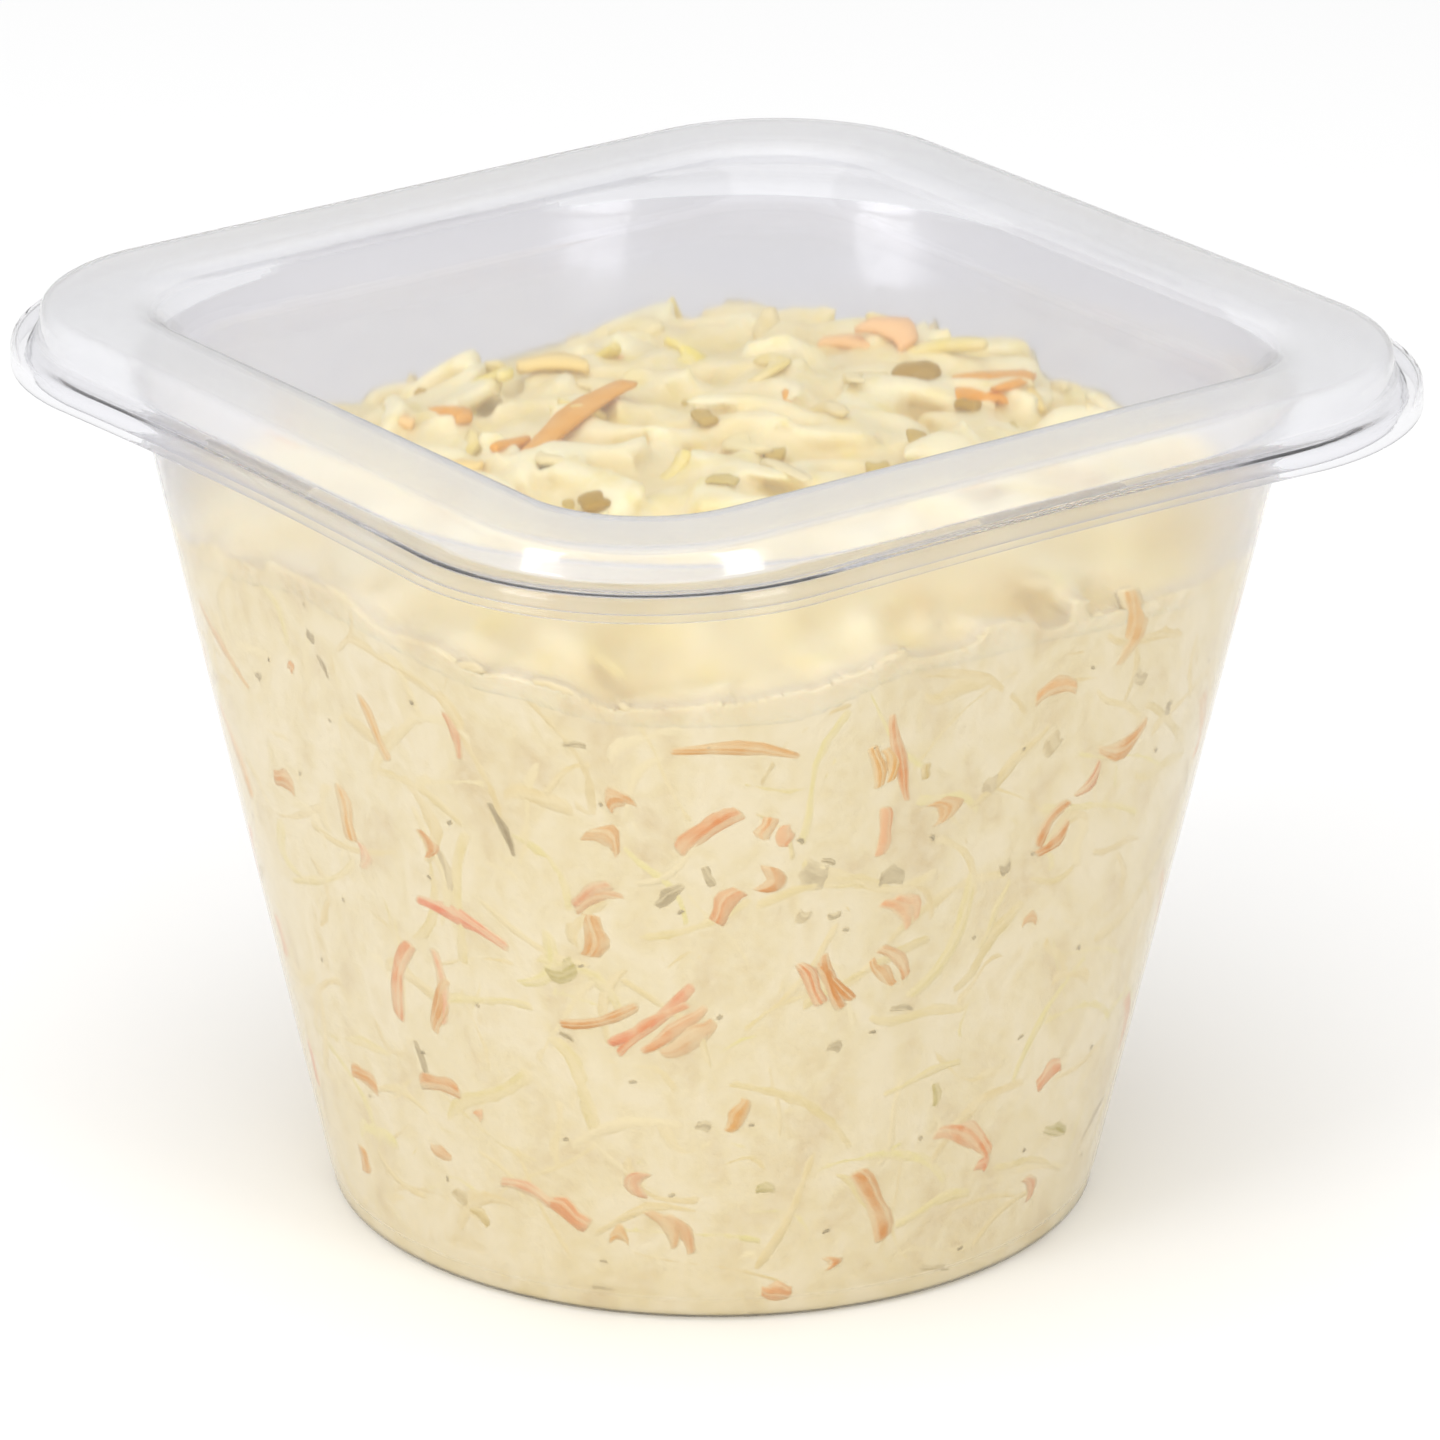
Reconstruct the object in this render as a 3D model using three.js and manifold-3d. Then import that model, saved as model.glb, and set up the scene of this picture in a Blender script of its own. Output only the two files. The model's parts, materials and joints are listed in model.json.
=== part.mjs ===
// A clear deli cup of creamy coleslaw, closed with its push-on lid.
// Millimetres, +Z up. The origin is the middle of the foot, on the surface the cup stands on.
// The cup is round at the base and a rounded square at the mouth, so every wall is a stack of
// level rings: each ring is a square of a given half width and corner radius.
import * as THREE from "three";
import { mergeVertices } from "three/addons/utils/BufferGeometryUtils.js";
import Module from "manifold-3d";

const wasm = await Module();
wasm.setup();

const { lerp, degToRad } = THREE.MathUtils;

// ---- driving dimensions ----
const TOTAL_HEIGHT = 94.5; // foot to the top of the lid's rim
const SHEET = 0.6; // thickness of the formed plastic
const FIT_GAP = 0.35; // clearance between lid, cup and food
const FLANGE_HALF = 59.8; // half the overall width, at the lid's skirt
const FLANGE_CORNER = 27.6;
const FLANGE_BOW = -0.9; // the skirt's edges are slightly hollow between the corners
const MOUTH_HALF = 54.0; // outside of the cup's wall, at the flange
const MOUTH_CORNER = 39.0;
const BASE_RADIUS = 40.8; // outside of the cup's wall, at the foot: a circle

// cup
const FOOT_HEIGHT = 2.2; // upright band below the tapered wall
const FOOT_STEP = 0.5; // the band is this much smaller than the wall above it
const FOOT_CHAMFER = 0.6; // height of the step from the band out to the wall
const FOOT_ROUND = 1.4; // the radius from the band to the foot's flat ring
const FOOT_RING = 6.0; // width of the flat ring that the cup stands on
const PUSH_UP = 0.9; // the middle of the base is raised by this much
const PUSH_UP_SLOPE = 1.0; // width of the slope from the flat ring to the raised middle
const RIM_CURL = 1.6; // the flange's edge turns down by this much
const CUP_FLANGE_INSET = 1.35; // from the lid's skirt to the cup's flange
const WALL_RINGS = 2; // rings up the cup's wall

// lid
const RIM_TOP_HALF = 55.5; // upper outer edge of the raised rim
const RIM_TOP_CORNER = 20.8;
const RIM_FOOT_HALF = 56.5; // lower outer edge of the raised rim
const RIM_FOOT_CORNER = 23.6;
const RIM_HEIGHT = 3.4;
const EDGE_ROUND = 1.1; // radius of the rim's upper edges
const SKIRT_HEIGHT = 3.2; // drop from the lid's flange to the skirt's lower edge
const RECESS_HALF = 45.5; // upper edge of the stacking recess
const RECESS_CORNER = 13.5;
const PANEL_HALF = 42.2; // lower edge of the stacking recess
const PANEL_CORNER = 12.2;
const RECESS_DEPTH = 5.3;

// coleslaw
// Level at which the food meets the wall, every 15 degrees from +X.
const EDGE_LEVELS = [
  [75.3, 74.9, 74.0, 73.3, 73.2, 73.3], // 0 to 75 degrees
  [73.8, 74.6, 75.4, 75.6, 74.6, 72.4], // 90 to 165
  [71.8, 71.2, 70.8, 70.9, 72.0, 75.0], // 180 to 255
  [77.0, 76.4, 74.4, 72.4, 72.4, 75.8], // 270 to 345
].flat();
const EDGE_MEAN = 74; // the heap's outline is taken from the wall at this level
const MOUND_TOP = 80.9; // mean level of the middle of the heap
const DOME_FLATNESS = 2.4; // exponent: the larger, the flatter the heap's top
const LUMP = 0.8; // height of the lumps on the heap
const LUMP_FADE = 6; // exponent: the larger, the closer to the wall the lumps die out
const LUMP_SPACING = { x: 4.3, y: 3.9, diagonal: 2.6 }; // length of one radian of the lumps' waves
const PIECES_TOP = 83.3; // no piece on the heap stands higher
const DRESSING_SKIN = 0.65; // the bare core lies this far inside the pieces at the wall
const FACET_SAG = 0.16; // how far the middle of a flat facet lies inside the true curve
const CORE_WALL_RINGS = 3; // rings up the side of the core
const CORE_EDGE_DROP = 1.5; // the highest of them is this far below the food's lowest edge
const HEAP_SHARES = [0.96, 0.87, 0.75, 0.6, 0.45, 0.3, 0.15]; // rings across its top, of its width
const SLOPE_STEP = 2; // the heap's slope is measured over twice this
const SEED = 41;

// shreds: how many there are, and the range that each of their sizes is drawn from
const CABBAGE_ON_TOP = 40;
const CABBAGE = {
  length: [9, 17],
  width: [2.4, 4.4],
  thickness: [0.9, 1.4],
  bow: [-1.4, 1.4],
  twist: [-0.5, 0.5],
  taper: [0.1, 0.5],
  lift: [0, 0.7],
};
const CARROT_ON_TOP = 12;
const CARROT = {
  length: [8, 15],
  width: [1.5, 2.1],
  thickness: [1.1, 1.5],
  bow: [-1.1, 1.1],
  twist: [-0.3, 0.3],
  taper: [0.3, 0.3],
  lift: [0.3, 0.8],
};
const SHREDS_AT_WALL = 60;
const WALL_SHRED = {
  length: [6, 15],
  width: [1.5, 2.6],
  thickness: [2 * DRESSING_SKIN, 2 * DRESSING_SKIN],
  bow: [-0.5, 0.5],
  twist: [0, 0],
  taper: [0.35, 0.35],
};
const SHRED_STEPS = 3; // stretches along a shred
const SIDE_BOW = 0.6; // a shred bows sideways by this much of its upward bow
const TOP_SPREAD = 0.9; // the pieces on the heap lie within this share of its width
const TILT = 0.33; // radians: how far a piece on the heap tilts from its slope
const WALL_SHRED_FROM = 7; // lowest middle of a shred at the wall
const WALL_SHRED_BELOW = 8.5; // the highest is this far below the food's edge
const WALL_SHRED_FLOOR = 4.8; // no end of a shred lies lower
const STEEPEST_LEAN = 1.3; // radians from level
const WALL_JITTER = 0.1; // radians: how far a shred strays from its even place round the wall
const GOLDEN_ANGLE = Math.PI * (3 - Math.sqrt(5)); // turn from one piece to the next

// heights that follow from these
const WALL_FOOT = FOOT_HEIGHT + FOOT_CHAMFER; // where the tapered wall starts
const LID_FLANGE = TOTAL_HEIGHT - RIM_HEIGHT; // top of the lid's flange
const LID_PANEL = TOTAL_HEIGHT - RECESS_DEPTH; // top of the lid's panel
const CUP_FLANGE = LID_FLANGE - SHEET - FIT_GAP; // top of the cup's flange, under the lid's

// ---- rings ----
// Directions at which every ring is sampled: closer together round the corners.
const EDGE_STEPS = 3;
const CORNER_STEPS = 8;
const CORNER_FROM = 30; // degrees
const CORNER_TO = 60;
const DIRECTIONS = [];
for (let quarter = 0; quarter < 4; quarter++) {
  const stretches = [
    [0, CORNER_FROM, EDGE_STEPS],
    [CORNER_FROM, CORNER_TO, CORNER_STEPS],
    [CORNER_TO, 90, EDGE_STEPS],
  ];
  for (const [from, to, steps] of stretches) {
    for (let i = 0; i < steps; i++) {
      DIRECTIONS.push(degToRad(90 * quarter + lerp(from, to, i / steps)));
    }
  }
}

// How far a rounded square reaches from its centre in a direction.
function reach(half, corner, direction, bow = 0) {
  const x = Math.abs(Math.cos(direction));
  const y = Math.abs(Math.sin(direction));
  const straight = half - corner; // half the length of the straight edge
  const along = (half * Math.min(x, y)) / Math.max(x, y); // where the ray meets the edge's line
  if (straight > 0 && along <= straight) {
    return half / Math.max(x, y) + bow * (1 - (along / straight) ** 2);
  }
  const sum = straight * (x + y);
  return sum + Math.sqrt(sum * sum - 2 * straight * straight + corner * corner);
}

// A round ring.
function disc(radius, z) {
  return { half: radius, corner: radius, z };
}

// A ring moved in by a distance.
function inset(ring, distance) {
  return { ...ring, half: ring.half - distance, corner: ring.corner - distance };
}

// A closed surface through rings of {half, corner, z, bow}. It starts and ends in a point on the
// axis, and the rings run up the outside and back down the inside, so that the faces point out.
// A ring with no z takes its heights from levelAt, and so does the last point, where that is given.
function closedStack(startZ, rings, endZ, levelAt = null) {
  const count = DIRECTIONS.length;
  const positions = [0, 0, startZ];
  for (const ring of rings) {
    for (const direction of DIRECTIONS) {
      const far = reach(ring.half, ring.corner, direction, ring.bow);
      const x = far * Math.cos(direction);
      const y = far * Math.sin(direction);
      positions.push(x, y, ring.z ?? levelAt(x, y));
    }
  }
  positions.push(0, 0, levelAt ? levelAt(0, 0) : endZ);
  const last = 1 + rings.length * count;
  const faces = [];
  for (let i = 0; i < count; i++) {
    const next = (i + 1) % count;
    faces.push(0, 1 + next, 1 + i);
    for (let ring = 0; ring + 1 < rings.length; ring++) {
      const low = 1 + ring * count;
      const high = low + count;
      faces.push(low + i, low + next, high + next, low + i, high + next, high + i);
    }
    faces.push(last, last - count + i, last - count + next);
  }
  const geometry = new THREE.BufferGeometry();
  geometry.setAttribute("position", new THREE.Float32BufferAttribute(positions, 3));
  geometry.setIndex(faces);
  return geometry;
}

// Rings of a rounded edge, from one angle to another, about a middle line.
function roundedEdge({ half, corner, z, radius, from, to, steps }) {
  const rings = [];
  for (let i = 0; i <= steps; i++) {
    const angle = degToRad(lerp(from, to, i / steps));
    const out = radius * Math.cos(angle);
    rings.push({ half: half + out, corner: corner + out, z: z + radius * Math.sin(angle) });
  }
  return rings;
}

// ---- cup ----
// The wall's outside at a height: a circle at the foot, a rounded square at the mouth.
function wallAt(z) {
  const share = (z - WALL_FOOT) / (CUP_FLANGE - WALL_FOOT);
  return {
    half: lerp(BASE_RADIUS, MOUTH_HALF, share),
    corner: lerp(BASE_RADIUS, MOUTH_CORNER, share),
    z,
  };
}

function makeCup() {
  const bandRadius = BASE_RADIUS - FOOT_STEP;
  const ringOuter = bandRadius - FOOT_ROUND; // edges of the flat ring under the foot
  const ringInner = ringOuter - FOOT_RING;
  const footEdge = { half: ringOuter, corner: ringOuter, z: FOOT_ROUND };
  const flange = { half: FLANGE_HALF - CUP_FLANGE_INSET, corner: FLANGE_CORNER - 1, bow: FLANGE_BOW };
  const wallHeights = [];
  for (let i = 1; i <= WALL_RINGS; i++) {
    wallHeights.push(lerp(WALL_FOOT, CUP_FLANGE - SHEET, i / WALL_RINGS));
  }
  const outside = [
    disc(ringInner - PUSH_UP_SLOPE, PUSH_UP),
    disc(ringInner, 0),
    ...roundedEdge({ ...footEdge, radius: FOOT_ROUND, from: -90, to: 0, steps: 3 }),
    disc(bandRadius, FOOT_HEIGHT),
    wallAt(WALL_FOOT),
    ...wallHeights.map(wallAt),
  ];
  const edge = [
    { ...inset(flange, SHEET), z: CUP_FLANGE - SHEET },
    { ...inset(flange, SHEET), z: CUP_FLANGE - RIM_CURL },
    { ...flange, z: CUP_FLANGE - RIM_CURL },
    { ...flange, z: CUP_FLANGE - SHEET / 2 },
    { ...inset(flange, SHEET / 2), z: CUP_FLANGE },
  ];
  const inside = [
    inset(wallAt(CUP_FLANGE), SHEET),
    ...wallHeights.slice(0, -1).reverse().map((z) => inset(wallAt(z), SHEET)),
    inset(wallAt(WALL_FOOT + SHEET), SHEET),
    disc(bandRadius - SHEET, FOOT_HEIGHT),
    ...roundedEdge({ ...footEdge, radius: FOOT_ROUND - SHEET, from: 0, to: -90, steps: 2 }),
    disc(ringInner, SHEET),
    disc(ringInner - PUSH_UP_SLOPE, PUSH_UP + SHEET),
  ];
  return closedStack(PUSH_UP, [...outside, ...edge, ...inside], PUSH_UP + SHEET);
}

// ---- lid ----
// One side of the lid's sheet, from the panel out to the flange: the upper side, or the lower
// side, which lies one sheet below and inside it.
function lidSide(thickness) {
  const radius = EDGE_ROUND - thickness;
  const recessEdge = {
    half: RECESS_HALF + EDGE_ROUND,
    corner: RECESS_CORNER + EDGE_ROUND,
    z: TOTAL_HEIGHT - EDGE_ROUND,
  };
  const rimEdge = {
    half: RIM_TOP_HALF - EDGE_ROUND,
    corner: RIM_TOP_CORNER - EDGE_ROUND,
    z: TOTAL_HEIGHT - EDGE_ROUND,
  };
  return [
    { half: PANEL_HALF + thickness, corner: PANEL_CORNER + thickness, z: LID_PANEL - thickness },
    ...roundedEdge({ ...recessEdge, radius, from: 180, to: 90, steps: 2 }),
    ...roundedEdge({ ...rimEdge, radius, from: 90, to: 0, steps: 3 }),
    { half: RIM_FOOT_HALF - thickness, corner: RIM_FOOT_CORNER - thickness, z: LID_FLANGE - thickness },
    {
      half: FLANGE_HALF - SHEET,
      corner: FLANGE_CORNER - SHEET,
      bow: FLANGE_BOW,
      z: LID_FLANGE - thickness,
    },
  ];
}

function makeLid() {
  const skirtFoot = LID_FLANGE - SKIRT_HEIGHT;
  const skirt = { half: FLANGE_HALF, corner: FLANGE_CORNER, bow: FLANGE_BOW };
  const rings = [
    ...lidSide(SHEET),
    { ...inset(skirt, SHEET), z: skirtFoot },
    { ...skirt, z: skirtFoot },
    { ...skirt, z: LID_FLANGE - SHEET },
    ...lidSide(0).reverse(),
  ];
  return closedStack(LID_PANEL - SHEET, rings, LID_PANEL);
}

// ---- coleslaw ----
// A small repeatable source of random numbers from 0 to 1 (the mulberry32 generator).
function randomFrom(seed) {
  let state = seed;
  return () => {
    state = (state + 0x6d2b79f5) | 0;
    let mixed = Math.imul(state ^ (state >>> 15), 1 | state);
    mixed = (mixed + Math.imul(mixed ^ (mixed >>> 7), 61 | mixed)) ^ mixed;
    return ((mixed ^ (mixed >>> 14)) >>> 0) / 2 ** 32;
  };
}
const random = randomFrom(SEED);
const between = (low, high) => lerp(low, high, random());

// One value from each range.
function draw(ranges) {
  const values = {};
  for (const [key, [low, high]] of Object.entries(ranges)) {
    values[key] = between(low, high);
  }
  return values;
}

// Level of the food at the wall in a direction, eased from one given level to the next.
function edgeLevel(direction) {
  const count = EDGE_LEVELS.length;
  const place = THREE.MathUtils.euclideanModulo((direction / (2 * Math.PI)) * count, count);
  const before = Math.floor(place) % count;
  const ease = THREE.MathUtils.smoothstep(place - before, 0, 1);
  return lerp(EDGE_LEVELS[before], EDGE_LEVELS[(before + 1) % count], ease);
}

// Level of the heap's bare surface: a flat dome with uneven lumps, from its edge at the wall.
function heapLevel(x, y) {
  const direction = Math.atan2(y, x);
  const rim = wallAt(EDGE_MEAN);
  const share = Math.min(1, Math.hypot(x, y) / reach(rim.half, rim.corner, direction));
  const across = Math.sin(x / LUMP_SPACING.x + 1.1) * Math.sin(y / LUMP_SPACING.y);
  const lumps = across + 0.6 * Math.sin((x + y) / LUMP_SPACING.diagonal);
  const level = lerp(MOUND_TOP, edgeLevel(direction), share ** DOME_FLATNESS);
  return level + LUMP * lumps * (1 - share ** LUMP_FADE);
}

// Rings of the cup's inside, less a distance, from its floor up to a level.
function cavityRings(distance, top) {
  const floor = PUSH_UP + SHEET + distance;
  const footRadius = BASE_RADIUS - FOOT_STEP - SHEET - distance;
  const rings = [disc(footRadius - FOOT_ROUND, floor), disc(footRadius, floor + FOOT_ROUND)];
  for (let i = 0; i < CORE_WALL_RINGS; i++) {
    const z = lerp(WALL_FOOT + SHEET + distance, top, i / (CORE_WALL_RINGS - 1));
    rings.push(inset(wallAt(z), SHEET + distance));
  }
  return rings;
}

// The bare heap: it fills the cup, less the thickness of the pieces that lie at the wall.
function coleslawCore() {
  const wallTop = Math.min(...EDGE_LEVELS) - CORE_EDGE_DROP;
  const rings = cavityRings(FIT_GAP + DRESSING_SKIN, wallTop);
  const { half, corner } = inset(wallAt(EDGE_MEAN), SHEET + FIT_GAP + DRESSING_SKIN);
  for (const share of [1, ...HEAP_SHARES]) {
    rings.push({ half: half * share, corner: corner * share });
  }
  return closedStack(rings[0].z, rings, 0, heapLevel);
}

// A shred: a thin strip along X, bowed and twisted along its length, and narrower at its ends.
function shred({ length, width, thickness, bow, twist, taper }) {
  const geometry = new THREE.BoxGeometry(length, width, thickness, SHRED_STEPS, 1, 1);
  const place = geometry.attributes.position;
  const point = new THREE.Vector3();
  const axis = new THREE.Vector3(1, 0, 0);
  for (let i = 0; i < place.count; i++) {
    point.fromBufferAttribute(place, i);
    const along = (2 * point.x) / length; // -1 to 1
    point.y *= 1 - taper * along * along;
    point.applyAxisAngle(axis, twist * along);
    point.z += bow * (1 - along * along);
    point.y += SIDE_BOW * bow * along * along;
    place.setXYZ(i, point.x, point.y, point.z);
  }
  return geometry;
}

// Shreds on the heap, each lying along its slope and half sunk in it.
function heapShreds(count, ranges, firstDirection) {
  const shreds = [];
  const rim = wallAt(EDGE_MEAN);
  const upright = new THREE.Vector3(0, 0, 1);
  const fullSize = new THREE.Vector3(1, 1, 1);
  for (let i = 0; i < count; i++) {
    const direction = firstDirection + i * GOLDEN_ANGLE;
    const share = TOP_SPREAD * Math.sqrt((i + 0.5) / count);
    const far = share * reach(rim.half, rim.corner, direction);
    const x = far * Math.cos(direction);
    const y = far * Math.sin(direction);
    const size = draw(ranges);
    const riseX = heapLevel(x + SLOPE_STEP, y) - heapLevel(x - SLOPE_STEP, y);
    const riseY = heapLevel(x, y + SLOPE_STEP) - heapLevel(x, y - SLOPE_STEP);
    const normal = new THREE.Vector3(-riseX, -riseY, 2 * SLOPE_STEP).normalize();
    const turn = new THREE.Euler(between(-TILT, TILT), between(-TILT, TILT), between(0, Math.PI));
    const lie = new THREE.Quaternion().setFromUnitVectors(upright, normal);
    lie.multiply(new THREE.Quaternion().setFromEuler(turn));
    const place = new THREE.Vector3(x, y, heapLevel(x, y) + size.lift);
    shreds.push(shred(size).applyMatrix4(new THREE.Matrix4().compose(place, lie, fullSize)));
  }
  return shreds;
}

// Shreds pressed flat against the inside of the wall, which they follow.
function wallShreds() {
  const shreds = [];
  for (let i = 0; i < SHREDS_AT_WALL; i++) {
    const direction = i * GOLDEN_ANGLE + between(-WALL_JITTER, WALL_JITTER);
    const highest = edgeLevel(direction) - WALL_SHRED_BELOW;
    const level = lerp(WALL_SHRED_FROM, highest, (i + 0.5) / SHREDS_AT_WALL);
    const size = draw(WALL_SHRED);
    const room = Math.min(1, (level - WALL_SHRED_FLOOR) / (size.length / 2));
    const steepest = Math.min(STEEPEST_LEAN, Math.asin(room));
    const lean = between(-steepest, steepest);
    const geometry = shred(size);
    const place = geometry.attributes.position;
    for (let k = 0; k < place.count; k++) {
      const across = place.getX(k) * Math.cos(lean) - place.getY(k) * Math.sin(lean);
      const z = level + place.getX(k) * Math.sin(lean) + place.getY(k) * Math.cos(lean);
      const depth = place.getZ(k) > 0 ? 0 : size.thickness;
      const ring = inset(wallAt(z), SHEET + FIT_GAP + FACET_SAG + depth);
      const turned = direction + across / reach(ring.half, ring.corner, direction);
      const far = reach(ring.half, ring.corner, turned);
      place.setXYZ(k, far * Math.cos(turned), far * Math.sin(turned), z);
    }
    shreds.push(geometry);
  }
  return shreds;
}

// ---- joining and cutting ----
function solidOf(geometry) {
  const bare = new THREE.BufferGeometry();
  bare.setAttribute("position", geometry.attributes.position);
  bare.setIndex(geometry.index);
  const merged = mergeVertices(bare);
  return new wasm.Manifold(
    new wasm.Mesh({
      numProp: 3,
      vertProperties: merged.attributes.position.array,
      triVerts: new Uint32Array(merged.index.array),
    }),
  );
}

function geometryOf(solid) {
  const mesh = solid.getMesh();
  const geometry = new THREE.BufferGeometry();
  geometry.setAttribute("position", new THREE.BufferAttribute(mesh.vertProperties, mesh.numProp));
  geometry.setIndex(new THREE.BufferAttribute(mesh.triVerts, 1));
  return geometry;
}

function fuse(solid, pieces) {
  return pieces.reduce((all, piece) => all.add(solidOf(piece)), solid);
}

// The heap: core and shreds in one, kept clear of the cup and of the lid's panel.
function makeColeslaw() {
  const onTop = [
    ...heapShreds(CABBAGE_ON_TOP, CABBAGE, 0.4),
    ...heapShreds(CARROT_ON_TOP, CARROT, 1.9),
  ];
  const roomRings = cavityRings(FIT_GAP, PIECES_TOP);
  const room = solidOf(closedStack(roomRings[0].z, roomRings, PIECES_TOP));
  const heap = fuse(solidOf(coleslawCore()), onTop).intersect(room);
  const bodies = fuse(heap, wallShreds()).decompose();
  bodies.sort((a, b) => b.volume() - a.volume());
  return geometryOf(bodies[0]); // the rest are loose scraps
}

// ---- materials ----
function clearPlastic() {
  return new THREE.MeshStandardMaterial({
    color: 0xe8ebee,
    roughness: 0.08,
    metalness: 0,
    transparent: true,
    opacity: 0.3,
  });
}

function creamyColeslaw() {
  return new THREE.MeshStandardMaterial({ color: 0xefe6c0, roughness: 0.45, metalness: 0 });
}

// ---- the model ----
function named(name, geometry, material) {
  geometry.computeVertexNormals();
  const mesh = new THREE.Mesh(geometry, material);
  mesh.name = name;
  return mesh;
}

const coleslawCup = new THREE.Group();
coleslawCup.add(named("cup", makeCup(), clearPlastic()));
coleslawCup.add(named("lid", makeLid(), clearPlastic()));
coleslawCup.add(named("coleslaw", makeColeslaw(), creamyColeslaw()));

export default coleslawCup;
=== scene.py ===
# Clear deli cup of creamy coleslaw with its push-on lid.
# Sizes are millimetres in the dictionaries and metres in the meshes; +Z is up, the foot stands on zero.
import json
import math
from collections import namedtuple
from functools import partial

import bpy
import numpy as np
from mathutils import Matrix, Vector, noise
from mathutils.bvhtree import BVHTree

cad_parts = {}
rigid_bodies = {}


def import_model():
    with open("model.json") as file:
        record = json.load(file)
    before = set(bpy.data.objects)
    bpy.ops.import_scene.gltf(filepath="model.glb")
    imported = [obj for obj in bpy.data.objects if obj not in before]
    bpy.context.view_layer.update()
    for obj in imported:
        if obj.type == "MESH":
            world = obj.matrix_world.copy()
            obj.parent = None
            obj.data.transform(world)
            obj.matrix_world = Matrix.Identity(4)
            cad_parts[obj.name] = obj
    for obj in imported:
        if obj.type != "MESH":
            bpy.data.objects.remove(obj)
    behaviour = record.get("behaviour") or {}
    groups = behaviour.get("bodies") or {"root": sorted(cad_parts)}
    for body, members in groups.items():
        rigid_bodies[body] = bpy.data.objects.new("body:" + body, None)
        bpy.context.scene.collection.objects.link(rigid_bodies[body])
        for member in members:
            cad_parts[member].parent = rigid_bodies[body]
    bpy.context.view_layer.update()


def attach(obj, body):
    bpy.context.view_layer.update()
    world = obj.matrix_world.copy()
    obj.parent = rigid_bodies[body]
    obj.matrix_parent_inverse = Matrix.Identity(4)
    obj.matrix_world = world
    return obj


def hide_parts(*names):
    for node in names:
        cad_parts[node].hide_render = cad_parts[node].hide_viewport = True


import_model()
scene = bpy.context.scene
mm = 0.001
roundCount = 240  # points round every ring


# sRGB hex, or a grey level that is linear already, to linear RGBA.
def linear(colour):
    if not isinstance(colour, str):
        return (colour,) * 3 + (1.0,)
    parts = [int(colour[i : i + 2], 16) / 255 for i in (1, 3, 5)]
    return tuple(p / 12.92 if p <= 0.04045 else ((p + 0.055) / 1.055) ** 2.4 for p in parts) + (1.0,)


# A node with its settings and links, and a colour ramp's stops. Inputs are named, or in order in a list;
# each is a value, another node's output or a node, whose first output is taken.
def addNode(tree, kind, inputs=(), stops=(), **settings):
    node = tree.nodes.new(kind)
    for name, value in settings.items():
        setattr(node, name, value)
    for name, value in inputs.items() if isinstance(inputs, dict) else enumerate(inputs):
        source = value.outputs[0] if isinstance(value, bpy.types.Node) else value
        if isinstance(source, bpy.types.NodeSocket):
            tree.links.new(source, node.inputs[name])
        else:
            node.inputs[name].default_value = source
    for _ in stops[2:]:
        node.color_ramp.elements.new(0.5)
    for element, (place, colour) in zip(node.color_ramp.elements if stops else (), stops):
        element.position = place
        element.color = linear(colour)
    return node


# An object in the scene for a mesh, a lamp or a camera.
def linked(name, data):
    piece = bpy.data.objects.new(name, data)
    scene.collection.objects.link(piece)
    return piece


# The mesh that an object's modifiers make, as a piece of its own that takes the object's place.
def baked(name, source):
    mesh = bpy.data.meshes.new_from_object(source.evaluated_get(bpy.context.evaluated_depsgraph_get()))
    mesh.name = name
    bpy.data.objects.remove(source)
    return linked(name, mesh)


# Stores a number or a vector for every point of a mesh.
def store(mesh, key, values):
    values = np.asarray(values, np.float32)
    kind, field = ("FLOAT", "value") if values.ndim == 1 else ("FLOAT_VECTOR", "vector")
    mesh.attributes.new(key, kind, "POINT").data.foreach_set(field, values.ravel())


# Rings are rounded squares, stacked into shells.
# This is how far a rounded square reaches from its centre in a direction.
def reach(half, corner, direction, bow=0.0):
    x, y = np.abs(np.cos(direction)), np.abs(np.sin(direction))
    half, corner, bow = (np.broadcast_to(np.asarray(v, float), x.shape) for v in (half, corner, bow))
    straight = np.maximum(half - corner, 0)
    along = half * np.minimum(x, y) / np.maximum(x, y)
    bulge = bow * (1 - (along / np.maximum(straight, 1e-9)) ** 2)
    total = straight * (x + y)
    arc = total + np.sqrt(np.maximum(total**2 - 2 * straight**2 + corner**2, 0))
    return np.where((straight > 0) & (along <= straight), half / np.maximum(x, y) + bulge, arc)


directions = np.linspace(0, 2 * np.pi, roundCount, endpoint=False)


def ringPoints(half, corner, z, bow=0.0, around=directions):
    far = reach(half, corner, around, bow)
    return np.stack([far * np.cos(around), far * np.sin(around), np.broadcast_to(z, around.shape)], 1)


# Rounds a path of (half, corner, z, bow, round) at each point, by that length.
def soften(path, steps=6):
    rows = [np.array(path[0][:4], float)]
    for before, here, after in zip(path, path[1:], path[2:]):
        a, b, c = (np.array(p[:4], float) for p in (before, here, after))
        cut = here[4]
        start = b + (a - b) * min(cut / math.hypot(b[0] - a[0], b[2] - a[2]), 0.5)
        end = b + (c - b) * min(cut / math.hypot(c[0] - b[0], c[2] - b[2]), 0.5)
        for t in np.linspace(0, 1, steps + 1):
            rows.append((1 - t) ** 2 * start + 2 * t * (1 - t) * b + t * t * end)
    rows.append(np.array(path[-1][:4], float))
    return np.array(rows)


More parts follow.
